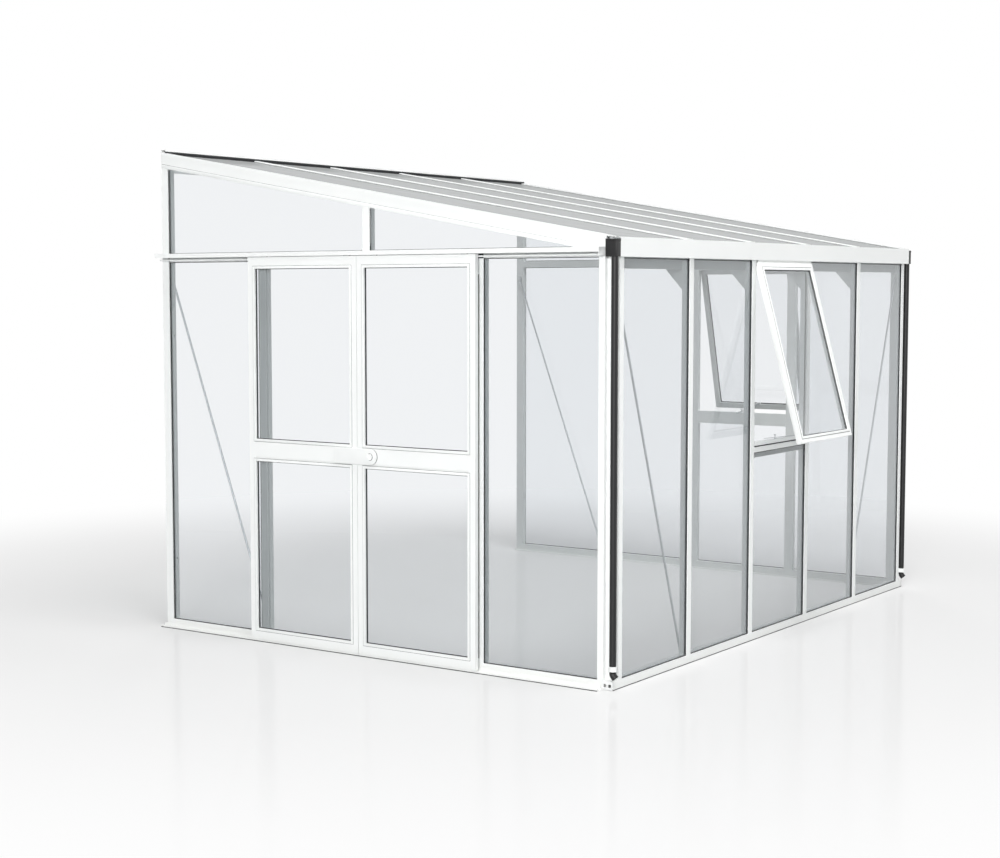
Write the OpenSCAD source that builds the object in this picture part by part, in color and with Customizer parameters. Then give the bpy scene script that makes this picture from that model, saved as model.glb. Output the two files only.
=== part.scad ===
// Lean-to greenhouse of powder-coated aluminium and glass, with sliding doors and two top-hung windows.
// Millimetres, +Z up. The origin is the middle of the front sill's underside.
// +X runs along the front from the door gable (near) to the other gable (far), +Y runs to the rear.

/* [Overall] */
// Width of one bay, from bar centre to bar centre
bay = 730; // [650:1:800]
// Number of bays along the front
front_bays = 5; // [4:1:6]
// Number of bays along each gable
gable_bays = 4; // [4:1:5]
// From an outer corner to the first bar line
corner_to_bar = 61; // [60:1:70]
// From the last gable bar line to the rear plane
bar_to_rear = 29; // [26:1:40]
// Height of the gutter's underside above the ground
eaves_h = 2122; // [1950:1:2300]
// Slope of the roof in degrees
roof_angle = 10; // [8:0.5:14]
// Height of the verge's top line over the gutter's underside, at the front
roof_rise = 100; // [99:1:110]

/* [Base] */
// Height of the sills
sill_h = 46; // [40:1:60]
// Depth of the front sill
sill_d = 60; // [54:1:70]
// Wall of the sills
sill_wall = 3; // [2:0.5:4]
// Drop of the chamfer on the inner edge of the front sill
sill_chamfer = 5; // [2:0.5:7]
// Depth of the groove that a pane stands in
groove_d = 12; // [8:1:14]
// Gap between a pane's lower edge and the bottom of its groove
pane_lift = 2; // [1:0.5:4]
// Width of the anchor flange inside the sills
flange_w = 26; // [20:1:40]
// Thickness of the anchor flange
flange_t = 4; // [3:0.5:6]
// Radius of the anchor holes
anchor_r = 4.5; // [3:0.5:6]
// Width of the door track plate outside the near sill
track_w = 54; // [50:1:60]
// Thickness of the door track plate
track_t = 4; // [3:0.5:5]
// Height of the lip on the track's outer edge
track_lip_h = 12; // [8:1:13]
// Height of the rib that guides the door leaves
rib_h = 24; // [18:1:25]
// Thickness of the guide rib
rib_t = 3; // [2:0.5:4]
// How far the guide rib stands out past the line of the wheel rail
rib_shift = 2.5; // [1:0.5:4]

/* [Glazing bars] */
// Width of a pressure cap
cap_w = 48; // [44:1:54]
// Thickness of a pressure cap
cap_t = 6; // [5:0.5:8]
// Chamfer on a cap's outer edges
cap_chamfer = 2; // [0.5:0.5:3]
// Thickness of the rubber gasket between cap and glass
gasket_t = 2; // [1.5:0.5:3]
// Width of a gasket strip
gasket_w = 6; // [4:0.5:8]
// From the bar line to a gasket strip
gasket_off = 14; // [12:0.5:14]
// Thickness of the fixed panes
glass_t = 4; // [3:0.5:5]
// Width of a glazing bar
bar_w = 62; // [58:1:66]
// Depth of a bar behind the glass
bar_d = 30; // [26:1:36]
// Chamfer on a bar's inner edges
bar_chamfer = 2; // [0.5:0.5:3]
// Width of the fin between two panes
fin_w = 10; // [8:0.5:12]
// Wall of the hollow bars, rails and posts
wall_t = 2; // [1.5:0.25:3]
// Gap between a pane's edge and the fin beside it
edge_gap = 2; // [1:0.5:3]

/* [Corner and rear posts] */
// Width of the hollow in an outer corner, where the rain pipe runs
recess_w = 54; // [48:1:56]
// Depth of that hollow
recess_d = 24; // [22:1:28]
// How far a corner post's face laps past the bar line
corner_lap = 28; // [24:1:30]
// How far a rear post's face laps past the bar line
rear_lap = 20; // [20:1:24]
// Radius of the holes for the rear bolts
rear_bolt_r = 5; // [3:0.5:7]
// Height of the lower rear bolt in each rear post
rear_bolt_low = 400; // [300:10:600]
// Height of the upper rear bolt in each rear post
rear_bolt_high = 1700; // [1400:10:1900]

/* [Gable heads and door hood] */
// Height of the head rail across a gable
head_h = 47; // [44:1:52]
// Depth of the groove under the head rail
head_low_groove = 10; // [8:1:12]
// Depth of the groove in the top of the head rail
head_top_groove = 9; // [7:1:12]
// Height of a slanted pane's front edge over the head rail
slant_edge = 3; // [2:0.5:6]
// Gap between the head rail and the corner's outer face
head_start = 55; // [50:1:60]
// Reach of the door hood in front of the head rail
hood_w = 66; // [64:1:72]
// Thickness of the hood's top
hood_t = 4; // [3:0.5:4.5]
// Height of the hood's outer lip
hood_lip_h = 24; // [18:1:26]
// Thickness of the hood's outer lip
hood_lip_t = 3; // [2:0.5:3]
// Reach of the shelf that carries the wheel rail
shelf_w = 26; // [24:1:27]
// Height of the shelf over the head rail's underside
shelf_lift = 6; // [4:0.5:7]
// Thickness of the shelf
shelf_t = 3; // [2:0.5:4]
// Height of the wheel rail on the shelf
rail_h = 5; // [4:0.5:6]
// Thickness of the wheel rail
rail_t = 4; // [3:0.5:4]

/* [Eaves] */
// Reach of the gutter in front of the sill's face
gutter_out = 20; // [16:1:30]
// Height of the gutter's front
gutter_h = 95; // [85:1:100]
// Height of the gutter's back, a fin on the eaves beam
gutter_back_h = 46; // [36:1:48]
// Wall of the gutter
gutter_t = 2.5; // [2:0.5:4]
// Width of the lip on the gutter's front edge
gutter_lip = 10; // [8:1:14]
// Width of the eaves beam behind the gutter
beam_w = 22; // [18:1:30]
// How far the eaves beam hangs below the gutter's underside
beam_drop = 56; // [40:1:70]

/* [Rain pipes] */
// Half width of an outlet box, on each side of the pipe's centre line
box_half = 20; // [19:1:24]
// Height of an outlet box
box_h = 86; // [70:1:86]
// Wall of an outlet box
box_t = 2; // [1.5:0.5:3]
// How far an outlet box reaches back past the glazing bars' inner face
box_rear = 3; // [0:0.5:5]
// Outer radius of the rain pipe
pipe_r = 17; // [14:0.5:17]
// Wall of the rain pipe
pipe_t = 2; // [1.5:0.25:3]
// From the corner's two faces to the pipe's centre line
pipe_in = 1; // [0:0.5:2]
// Height of the pipe's lower end
pipe_foot = 97; // [90:1:160]
// Gap around the pipe in its clip and in its outlet
pipe_gap = 0.1; // [0.05:0.05:0.3]
// Height of the clip at the foot of a pipe
clip_h = 25; // [15:1:40]
// Wall of the clip
clip_t = 3.5; // [2:0.5:4]
// Reach of the clip's two feet along the walls of the hollow
clip_foot = 6; // [3:0.5:10]
// From the pipe's end down to the bend of the shoe
shoe_neck = 18; // [14:1:22]
// How far the shoe's round knuckle stands out past its tubes
shoe_flare = 1; // [0.5:0.25:1.5]
// Turn of the shoe in degrees
shoe_turn = 45; // [30:1:50]
// From the bend of the shoe to its outlet
shoe_out = 21; // [16:1:24]

/* [Roof] */
// Depth of a verge rafter, square to the slope
verge_h = 89; // [80:1:96]
// Height of the bead along a verge's outer edge
verge_bead_h = 20; // [12:1:30]
// How far that bead stands out
verge_bead_out = 3; // [1:0.5:5]
// Depth of the groove under a verge
verge_groove = 10; // [9:0.5:14]
// From the sill's face to the front end of a verge
verge_start = 50; // [46:1:52]
// Width of the cap on a verge
verge_cap_w = 24; // [22:1:32]
// How far the roof caps lie below the verge's top
roof_drop = 2; // [0:0.5:3]
// Depth of a roof bar under the glass
roof_bar_d = 40; // [34:1:50]
// From the sill's face to the front edge of the roof panes
roof_glass_front = 10; // [6:1:14]
// From the sill's face to the front end of the roof caps
roof_cap_front = 12; // [8:1:20]
// How far the roof caps reach in under the flashing's front lip
cap_tuck = 2; // [1:0.5:3]
// From the rear plane to the rear edge of the roof panes
roof_glass_rear = 8; // [6:1:16]
// Height of the wall plate at its front
plate_h = 95; // [70:1:120]
// Width of the flashing over the rear edge
flash_w = 36; // [35:1:50]
// Thickness of the flashing
flash_t = 3; // [2:0.5:4]
// Height of the flashing's front lip
flash_lip_h = 16; // [13:1:24]
// Gap between the flashing's front lip and the verge's top
flash_gap = 2.5; // [1:0.5:5]
// From the rear plane to the rubber seal under the flashing
seal_rear = 22; // [14:1:24]
// Thickness of that seal
seal_t = 8; // [5:1:9]

/* [Bracing] */
// How far a knee brace reaches down from the gutter's underside
knee_drop = 177; // [140:1:240]
// How far a knee brace reaches in from the sill's face
knee_run = 293; // [220:1:400]
// Thickness of a knee brace
knee_t = 3; // [2:0.5:5]
// Width of the flanges on a knee brace
knee_flange = 36; // [34:1:50]
// Diameter of a brace rod
rod_d = 12; // [8:1:14]
// Width of a rod's end lug
lug_w = 28; // [20:1:28]
// Height of a rod's end lug
lug_h = 40; // [36:1:50]
// Thickness of a rod's end lug
lug_t = 3; // [2:0.5:4]
// From the gutter's underside down to a rod's upper end
rod_top_drop = 87; // [80:1:200]
// Height of a rod's lower end
rod_foot = 90; // [70:1:200]
// From a bar line to the end of a rod beside it
rod_off = 16; // [14:0.5:17]
// Radius of a bolt head
bolt_r = 5; // [3:0.5:6]
// Height of a bolt head
bolt_h = 4; // [3:0.5:5]
// From the ends of a knee brace's upright flange to its bolts
bolt_edge = 20; // [12:1:30]

/* [Sliding doors] */
// Width of a door leaf
leaf_w = 761; // [740:1:775]
// Thickness of a door leaf
leaf_t = 27; // [22:1:27]
// Gap between the two closed leaves
leaf_gap = 3; // [1:0.5:6]
// How far the meeting line lies behind the middle bar line of the doorway
meet_shift = 16; // [0:1:20]
// From the gable's face to the inner face of a leaf
leaf_in = 35; // [34:0.5:36]
// Height of a leaf's lower edge
leaf_foot = 15; // [14:1:16]
// How far a leaf reaches above the head rail's underside
leaf_over = 20; // [16:1:21]
// Width of a leaf's stiles
stile_w = 38; // [32:1:48]
// Height of a leaf's bottom rail
low_rail_h = 47; // [40:1:60]
// Height of a leaf's top rail
top_rail_h = 48; // [44:1:60]
// Height of the middle rail's lower edge above the ground
mid_rail_z = 1040; // [950:1:1100]
// Height of the middle rail
mid_rail_h = 77; // [60:1:90]
// Width of the glazing bead on the stiles
stile_bead = 10; // [7:0.5:16]
// Height of the glazing bead on the bottom and top rails
rail_bead = 15; // [10:0.5:24]
// Height of the glazing beads on the middle rail
mid_bead = 23; // [12:0.5:28]
// Thickness of a glazing bead
bead_t = 6.5; // [4:0.5:8]
// Gap around a pane inside its frame
pane_gap = 2; // [1:0.5:4]

/* [Door fittings] */
// From the end of a leaf to its hangers and guides
hanger_in = 90; // [70:1:160]
// Width of a hanger plate
hanger_w = 36; // [28:1:44]
// Thickness of a hanger plate
hanger_t = 3; // [2:0.5:4]
// How far a hanger plate reaches down over the leaf
hanger_lap = 42; // [30:1:48]
// How far a hanger plate reaches up past the axle
hanger_up = 6; // [4:0.5:8]
// Radius of a door wheel's tread
wheel_r = 12; // [10:0.5:13]
// How far a wheel's flanges stand above its tread
wheel_flange = 2; // [1.5:0.5:3]
// Width of a door wheel
wheel_w = 12; // [10:0.5:12]
// Gap on each side between the wheel rail and the wheel's flanges
rail_gap = 0.5; // [0.3:0.1:0.8]
// Gap between a wheel's tread and the rail
wheel_lift = 0.1; // [0.05:0.05:0.3]
// Radius of a wheel's axle
axle_r = 3; // [2.5:0.5:4]
// Wall of the hub and of the washer that keep a wheel on its axle
hub_t = 2; // [1.5:0.5:3]
// Radial running gap of the axles, pins and spindles
run_gap = 0.05; // [0.02:0.01:0.1]
// Gap on each side of a wheel along its axle
side_gap = 0.3; // [0.2:0.1:0.6]
// Length of a bottom guide
guide_w = 60; // [40:1:90]
// Lower edge of a bottom guide above the ground
guide_low = 8; // [6:0.5:10]
// Upper edge of a bottom guide above the ground
guide_top = 34; // [31:1:44]
// Gap between a bottom guide and the sides of the rib
guide_gap = 0.5; // [0.3:0.1:1]
// Gap between a bottom guide and the rib's top
guide_lift = 2; // [1:0.5:4]
// Thickness of a guide's inner cheek
guide_cheek = 8.5; // [5:0.5:9]
// Height of the lock case
lock_h = 88; // [70:1:94]
// Thickness of the lock case
lock_t = 12; // [10:0.5:16]
// From the middle rail's centre line up to the lock's
lock_lift = 2.5; // [0:0.5:6]
// From the meeting line to the round end's centre
lock_back = 93; // [50:1:100]
// From the meeting line to the lock case's square end
lock_ahead = 151; // [80:1:160]
// Gap between the lock case and the leaf that it laps over
lock_gap = 0.8; // [0.5:0.1:1.5]
// Radius of the turn knob
knob_r = 17; // [14:0.5:20]
// Thickness of the turn knob's disc
knob_t = 6; // [4:0.5:8]
// Height of the knob's finger wing
wing_h = 14; // [10:0.5:20]
// Thickness of the knob's finger wing
wing_t = 8; // [6:0.5:10]
// Radius of the knob's spindle
spindle_r = 5; // [3:0.5:6]
// Length of the spindle inside the lock case
spindle_in = 8; // [6:0.5:9]

/* [Windows] */
// Front bay that holds a window, counted from the near corner
front_window = 3; // [2:1:4]
// Far gable bay that holds a window, counted from the front corner
far_window = 2; // [2:1:3]
// How far the windows stand open, in degrees
window_open = 15; // [5:1:15]
// How much further than that a window can open, in degrees
window_more = 3; // [1:1:5]
// Height of the transom's lower edge
transom_z = 1026; // [900:1:1100]
// Height of the transom
transom_h = 84; // [75:1:100]
// From the transom's lower edge to its outer strip
strip_low = 31; // [20:1:32]
// Height of the outer strip
strip_h = 26; // [22:1:26]
// Depth of the groove under the outer strip
strip_groove = 11; // [9:1:14]
// Height of the window head behind the glass line
window_head_h = 32; // [28:1:36]
// Thickness of the hinge plate
hinge_plate_t = 5; // [3:0.5:6]
// Reach of the hinge plate on each side of the hanging face
hinge_plate_out = 12; // [11:0.5:16]
// From the face plane out to the hinge axis
hinge_out = 8; // [8:0.5:9]
// From the gutter's underside down to the hinge axis
hinge_drop = 16; // [15:0.5:18]
// Radius of the hinge bead
hinge_r = 4; // [3:0.5:4.5]
// Radial running gap of the hinge
hinge_gap = 0.08; // [0.05:0.01:0.1]
// Outer radius of the sash's hook
hook_r = 8; // [7:0.5:8]
// How far the hook's mouth opens from upright towards the outside, in degrees
mouth_out = 50; // [45:1:60]
// How far it opens from upright towards the inside, in degrees
mouth_in = 27; // [24:1:30]
// From the hinge axis down to the sash's top
sash_drop = 3; // [2:0.5:4]
// How far the sash's inner ring reaches up in front of the window head
ring_lap = 5; // [2:0.5:6]
// Thickness of the neck that carries the hinge bead
neck_t = 3; // [2:0.5:3]
// How far the sash laps over the caps beside it
sash_lap = 6; // [4:0.5:9]
// Gap between the sash and the fixed frame
sash_gap = 1; // [0.5:0.25:1.5]
// Gap around the sash's inner ring
ring_gap = 3; // [2:0.5:4]
// Width of the sash's outer face
sash_face = 38; // [34:1:46]
// Thickness of the sash's outer ring
sash_t = 20; // [18:0.5:24]
// From the sash's outer face to its pane
sash_glass_in = 7; // [5:0.5:9]
// How far a sash pane runs into its frame
sash_bite = 8; // [6:0.5:10]

/* [Window stays] */
// Width of the slotted stay
stay_w = 18; // [14:0.5:22]
// Thickness of the slotted stay
stay_t = 3; // [2:0.5:3.5]
// Width of the slot
slot_w = 8; // [7:0.5:9]
// From the pivot pin to the near end of the slot
slot_start = 10; // [7:0.5:14]
// How far the slot runs on past the peg when the window stands widest
slot_over = 3; // [2:0.5:6]
// From the slot's far end to the end of the stay
stay_tail = 8; // [6:0.5:14]
// Radius of the stay's pivot pin
pin_r = 2.5; // [2:0.25:3]
// Outer radius of the eye at the end of the stay
eye_r = 4.5; // [4:0.25:4.5]
// From the sash's inner face to the pivot pin
pin_in = 6.5; // [6.5:0.25:9]
// Height of the pivot pin over the transom
pin_lift = 18; // [16:0.5:20]
// How far the bracket reaches up past the pin
bracket_up = 6; // [5:0.5:8]
// How far the bracket reaches down past the pin
bracket_down = 16; // [12:0.5:17]
// How far the bracket's ears reach in past the pin
ear_over = 4; // [3:0.5:5]
// Gap between the stay's eye and the bracket's plate
eye_gap = 0.5; // [0.3:0.1:1]
// Thickness of the bracket's ears
ear_t = 4.7; // [3:0.1:6]
// Radius of the peg on the transom
peg_r = 3; // [2:0.25:3]
// From the transom's inner face to the peg
peg_in = 6; // [5:0.5:10]
// Gap between the closed stay and the peg's cross head
peg_gap = 1; // [0.5:0.25:2]
// Length of the peg's cross head
peg_head = 20; // [14:0.5:26]
// Thickness of the peg's cross head
peg_head_t = 4; // [3:0.5:6]
// Turn of the stay against the sash, for each degree that the sash opens
stay_turn = 0.473; // [0.46:0.001:0.49]

/* [Hidden] */
$fn = 64;

// Colours of the materials
white_coat = "#f3f4f3";
clear_glass = [0.80, 0.86, 0.85, 0.35];
black_plastic = "#343537";
black_rubber = "#28292a";
bare_steel = "#b9bcbe";
white_plastic = "#eceeed";

// Small overshoot of the cutting shapes
cut = 1;
// Half size of the blocks that cut along the roof
block = 9000;

// The glazing stack, measured inward from the outer face
glass_v = cap_t + gasket_t;
seat_v = glass_v + glass_t;
inner_v = seat_v + bar_d;
pane_edge = fin_w / 2 + edge_gap;

// Overall lengths
length = 2 * corner_to_bar + front_bays * bay;
depth = corner_to_bar + gable_bays * bay + bar_to_rear;
head_top = eaves_h + head_h;
beam_low = eaves_h - beam_drop;
beam_rear = inner_v + beam_w;
groove_z = sill_h - groove_d;
pane_low = groove_z + pane_lift;

// The roof stack, measured square to the slope from the verge's top
roof_z0 = eaves_h + roof_rise;
cap_n = -roof_drop - cap_t;
glass_n = cap_n - gasket_t;
seat_n = glass_n - glass_t;
under_n = seat_n - roof_bar_d;
roof_cap_rear = flash_w - cap_tuck;

// Door values
meet_u = corner_to_bar + 2 * bay + meet_shift;
right_u = meet_u - leaf_gap / 2 - leaf_w;
left_u = meet_u + leaf_gap / 2;
leaf_top = eaves_h + leaf_over;
leaf_out = leaf_in + leaf_t;
leaf_mid = leaf_in + leaf_t / 2;
rail_top = eaves_h + shelf_lift + shelf_t + rail_h;
rail_out = shelf_w - wheel_w / 2;
wheel_z = rail_top + wheel_r + wheel_lift;
rib_out = rail_out + rib_shift;
lock_z = mid_rail_z + mid_rail_h / 2 + lock_lift;

// Window values
hinge_z = eaves_h - hinge_drop;
strip_z = transom_z + strip_low;
strip_top = strip_z + strip_h;
transom_top = transom_z + transom_h;
sash_low = strip_top + sash_gap;
sash_top = hinge_z - sash_drop;
ring_low = strip_top + ring_gap + sash_gap;
ring_top = eaves_h - window_head_h + ring_lap;
ring_in = seat_v - sash_gap / 2;
pin_v = ring_in + pin_in;
pin_z = transom_top + pin_lift;
peg_v = inner_v - peg_in;
pin_arm_v = pin_v + hinge_out;
pin_arm_z = hinge_z - pin_z;
window_max = window_open + window_more;
pin_out_v = pin_arm_v * cos(window_max) - pin_arm_z * sin(window_max) - hinge_out;
stay_slope = (1 - stay_turn) * window_max;
slot_end = (peg_v - pin_out_v) / cos(stay_slope) + peg_r + slot_over;
stay_len = slot_end + stay_tail;

// Near gable bays with fixed panes; the doorway takes the two bays after the first
fixed_bays = concat([0], [for (i = [3 : gable_bays - 1]) i]);

// Bar lines along the front and the gables
function bar_u(i) = corner_to_bar + i * bay;
// Height of the roof plane n at a distance y from the front, and the reverse
function roof_z(y, n) = roof_z0 + y * tan(roof_angle) + n / cos(roof_angle);
function roof_y(z, n) = (z - roof_z0 - n / cos(roof_angle)) / tan(roof_angle);
// Distance up the slope of a point on the roof plane n
function roof_s(y, n) = (y + n * sin(roof_angle)) / cos(roof_angle);

plate_z = roof_z(depth - inner_v, seat_n) - plate_h;
flash_z = roof_z(depth - flash_w, 0) + flash_gap;
flash_top = flash_z + flash_lip_h;

// Frames: each is measured from an outer corner, and both gables from their front corner
module near_side() translate([-length / 2, -sill_d / 2, 0]) children();
module far_side() near_side() translate([length, 0, 0]) mirror([1, 0, 0]) children();
module near_gable() near_side() mirror([1, -1, 0]) children();
module far_gable() far_side() mirror([1, -1, 0]) children();
module both_sides() {
    near_side() children();
    far_side() children();
}
module both_gables() {
    near_gable() children();
    far_gable() children();
}

// A prism along u of a section drawn as [v, z]
module along_u(u0, u1)
    translate([u0, 0, 0])
        rotate([90, 0, 90])
            linear_extrude(u1 - u0)
                children();

// A plate of a shape drawn as [u, z], from v0 inward by t
module face_plate(v0, t)
    translate([0, v0 + t, 0])
        rotate([90, 0, 0])
            linear_extrude(t)
                children();

// A prism up the slope of a section drawn as [x, n], with upright ends at y0 and y1
module up_roof(y0, y1)
    intersection() {
        translate([0, 0, roof_z0])
            rotate([roof_angle, 0, 0])
                translate([0, roof_s(y1, 0) + verge_h, 0])
                    rotate([90, 0, 0])
                        linear_extrude(roof_s(y1, 0) - roof_s(y0, 0) + 2 * verge_h)
                            children();
        translate([-block, y0, 0])
            cube([2 * block, y1 - y0, block]);
    }

// All that lies above the roof plane n
module above_roof(n)
    near_side()
        translate([0, 0, roof_z0])
            rotate([roof_angle, 0, 0])
                translate([-block, -block, n])
                    cube(2 * block);

// A hollow box section with its lower corner at [a, b]
module box_section(a, b, w, h)
    difference() {
        translate([a, b])
            square([w, h]);
        translate([a + wall_t, b + wall_t])
            square([w - 2 * wall_t, h - 2 * wall_t]);
    }

// A round bar along u
module round_u(u0, u1, v, z, r)
    translate([u0, v, z])
        rotate([0, 90, 0])
            cylinder(r = r, h = u1 - u0);

// A round bar along v, from v0 inward
module round_v(u, v0, z, r, h)
    translate([u, v0, z])
        rotate([-90, 0, 0])
            cylinder(r = r, h = h);

// Glazing bar: a hollow box that two panes seat on, and a fin between them
module bar_section(d) {
    half = bar_w / 2;
    inner = seat_v + d;
    difference() {
        polygon([
            [-half, seat_v], [-fin_w / 2, seat_v], [-fin_w / 2, cap_t],
            [fin_w / 2, cap_t], [fin_w / 2, seat_v], [half, seat_v],
            [half, inner - bar_chamfer], [half - bar_chamfer, inner],
            [bar_chamfer - half, inner], [-half, inner - bar_chamfer]]);
        translate([wall_t - half, seat_v + wall_t])
            square([bar_w - 2 * wall_t, d - 2 * wall_t]);
    }
}
module upright(i, z0, z1)
    translate([bar_u(i), 0, z0])
        linear_extrude(z1 - z0)
            bar_section(bar_d);

// Pressure cap: a flat strip with chamfered outer edges
module cap_section() {
    half = cap_w / 2;
    polygon([
        [-half, cap_t], [-half, cap_chamfer], [cap_chamfer - half, 0],
        [half - cap_chamfer, 0], [half, cap_chamfer], [half, cap_t]]);
}
module upright_cap(i, z0, z1)
    translate([bar_u(i), 0, z0])
        linear_extrude(z1 - z0)
            cap_section();

// Flat pane between two bar lines
module pane(i, z0, z1)
    translate([bar_u(i) + pane_edge, glass_v, z0])
        cube([bay - 2 * pane_edge, glass_t, z1 - z0]);

// Sills
module front_sill() {
    color(white_coat)
        near_side() {
            along_u(0, length)
                difference() {
                    polygon([
                        [0, 0], [sill_d, 0], [sill_d, sill_h - sill_chamfer],
                        [sill_d - sill_chamfer, sill_h], [seat_v, sill_h], [seat_v, groove_z],
                        [glass_v, groove_z], [glass_v, sill_h], [0, sill_h]]);
                    translate([sill_wall, sill_wall])
                        square([sill_d - 2 * sill_wall, groove_z - 2 * sill_wall]);
                }
            difference() {
                translate([corner_to_bar + bar_w / 2, sill_d, 0])
                    cube([length - 2 * corner_to_bar - bar_w, flange_w, flange_t]);
                for (i = [1 : front_bays - 1])
                    translate([bar_u(i), sill_d + flange_w / 2, -cut])
                        cylinder(r = anchor_r, h = flange_t + 2 * cut);
            }
        }
}
module gable_sill() {
    along_u(sill_d, depth)
        difference() {
            polygon([
                [0, 0], [inner_v, 0], [inner_v, sill_h], [seat_v, sill_h], [seat_v, groove_z],
                [glass_v, groove_z], [glass_v, sill_h], [0, sill_h]]);
            translate([sill_wall, sill_wall])
                square([inner_v - 2 * sill_wall, groove_z - 2 * sill_wall]);
        }
    difference() {
        translate([corner_to_bar + bar_w / 2, inner_v, 0])
            cube([depth - corner_to_bar - bar_w / 2, flange_w, flange_t]);
        for (i = [1 : gable_bays])
            translate([bar_u(i) - bay / 2, inner_v + flange_w / 2, -cut])
                cylinder(r = anchor_r, h = flange_t + 2 * cut);
    }
}
module near_sill() {
    color(white_coat)
        near_gable() {
            gable_sill();
            along_u(head_start, depth) {
                translate([-track_w, 0])
                    square([track_w, track_t]);
                translate([-track_w, 0])
                    square([sill_wall, track_lip_h]);
                translate([-rib_out - rib_t / 2, 0])
                    square([rib_t, rib_h]);
            }
        }
}
module far_sill() {
    color(white_coat)
        far_gable()
            gable_sill();
}

// Corner post: two bar halves at a right angle, with the pipe's hollow in the outer corner
module corner_post() {
    face = corner_to_bar + corner_lap;
    fin = corner_to_bar + fin_w / 2;
    side = corner_to_bar + bar_w / 2;
    box_in = inner_v - recess_d - 2 * wall_t;
    translate([0, 0, sill_h])
        linear_extrude(eaves_h - sill_h)
            difference() {
                polygon([
                    [0, recess_w], [0, face], [cap_t, face], [cap_t, fin], [seat_v, fin], [seat_v, side],
                    [inner_v, side], [inner_v, inner_v], [side, inner_v], [side, seat_v], [fin, seat_v],
                    [fin, cap_t], [face, cap_t], [face, 0], [recess_w, 0], [recess_w, recess_d],
                    [recess_d, recess_d], [recess_d, recess_w]]);
                translate([recess_d + wall_t, recess_d + wall_t])
                    square(box_in);
                translate([recess_d + wall_t, inner_v + wall_t])
                    square([box_in, side - inner_v - 2 * wall_t]);
                translate([inner_v + wall_t, recess_d + wall_t])
                    square([side - inner_v - 2 * wall_t, box_in]);
            }
}

// Rear post: a hollow post in the last bar line, bolted back through its box
module wall_post() {
    line = bar_u(gable_bays);
    side = line - bar_w / 2;
    difference() {
        translate([0, 0, sill_h])
            linear_extrude(roof_z0 + depth)
                difference() {
                    polygon([
                        [line - rear_lap, 0], [depth, 0], [depth, inner_v], [side, inner_v], [side, seat_v],
                        [line - fin_w / 2, seat_v], [line - fin_w / 2, cap_t], [line - rear_lap, cap_t]]);
                    translate([side + wall_t, seat_v + wall_t])
                        square([depth - side - 2 * wall_t, bar_d - 2 * wall_t]);
                }
        for (z = [rear_bolt_low, rear_bolt_high])
            round_u(side - cut, depth + cut, seat_v + bar_d / 2, z, rear_bolt_r);
    }
}
module near_corner_post() color(white_coat) near_side() corner_post();
module far_corner_post() color(white_coat) far_side() corner_post();
module near_wall_post() {
    color(white_coat)
        difference() {
            near_gable() wall_post();
            above_roof(-verge_h);
        }
}
module far_wall_post() {
    color(white_coat)
        difference() {
            far_gable() wall_post();
            above_roof(-verge_h);
        }
}

// Glazing bars of the front and the gables
module front_post(i) color(white_coat) near_side() upright(i, sill_h, eaves_h);
module far_post(i) color(white_coat) far_gable() upright(i, sill_h, eaves_h);
module door_jambs() color(white_coat) near_gable() for (i = [1, 3]) upright(i, sill_h, eaves_h);
module gable_top_posts() {
    color(white_coat)
        difference() {
            both_gables() upright(2, head_top, roof_z0 + depth);
            above_roof(-verge_h);
        }
}

// Head rails across the gables; the near one carries the door hood and the wheel rail
module head_rail()
    along_u(head_start, bar_u(gable_bays) - bar_w / 2)
        difference() {
            polygon([
                [0, eaves_h], [glass_v, eaves_h], [glass_v, eaves_h + head_low_groove],
                [seat_v, eaves_h + head_low_groove], [seat_v, eaves_h], [inner_v, eaves_h],
                [inner_v, head_top], [seat_v, head_top], [seat_v, head_top - head_top_groove],
                [glass_v, head_top - head_top_groove], [glass_v, head_top], [0, head_top]]);
            translate([seat_v + wall_t, eaves_h + wall_t])
                square([bar_d - 2 * wall_t, head_h - 2 * wall_t]);
        }
module near_head_rail() {
    color(white_coat)
        near_gable() {
            head_rail();
            along_u(head_start, depth) {
                translate([-hood_w, head_top - hood_t])
                    square([hood_w, hood_t]);
                translate([-hood_w, head_top - hood_lip_h])
                    square([hood_lip_t, hood_lip_h]);
                translate([-shelf_w, eaves_h + shelf_lift])
                    square([shelf_w, shelf_t]);
                translate([-rail_out - rail_t / 2, rail_top - rail_h])
                    square([rail_t, rail_h]);
            }
        }
}
module far_head_rail() color(white_coat) far_gable() head_rail();

// Gutter between the outlet boxes: its floor, its flat front, and the eaves beam with a fin for its back
gutter_end = pipe_in + box_half;
module gutter_tray() {
    color(white_coat)
        near_side()
            along_u(gutter_end, length - gutter_end)
                translate([gutter_t - gutter_out, eaves_h])
                    square([gutter_out - gutter_t + inner_v, gutter_t]);
}
module gutter_fascia() {
    color(white_coat)
        near_side()
            along_u(gutter_end, length - gutter_end)
                translate([-gutter_out, eaves_h]) {
                    square([gutter_t, gutter_h]);
                    translate([0, gutter_h - gutter_t])
                        square([gutter_lip, gutter_t]);
                }
}
module eaves_beam() {
    a = inner_v + wall_t;
    b = beam_rear - wall_t;
    color(white_coat)
        near_side() {
            along_u(gutter_end, length - gutter_end)
                translate([inner_v - gutter_t, eaves_h + gutter_t])
                    square([gutter_t, gutter_back_h - gutter_t]);
            along_u(inner_v, length - inner_v)
                difference() {
                    polygon([
                        [inner_v, beam_low], [beam_rear, beam_low],
                        [beam_rear, roof_z(beam_rear, under_n)], [inner_v, roof_z(inner_v, under_n)]]);
                    polygon([
                        [a, beam_low + wall_t], [b, beam_low + wall_t],
                        [b, roof_z(b, under_n - wall_t)], [a, roof_z(a, under_n - wall_t)]]);
                }
        }
}

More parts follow.
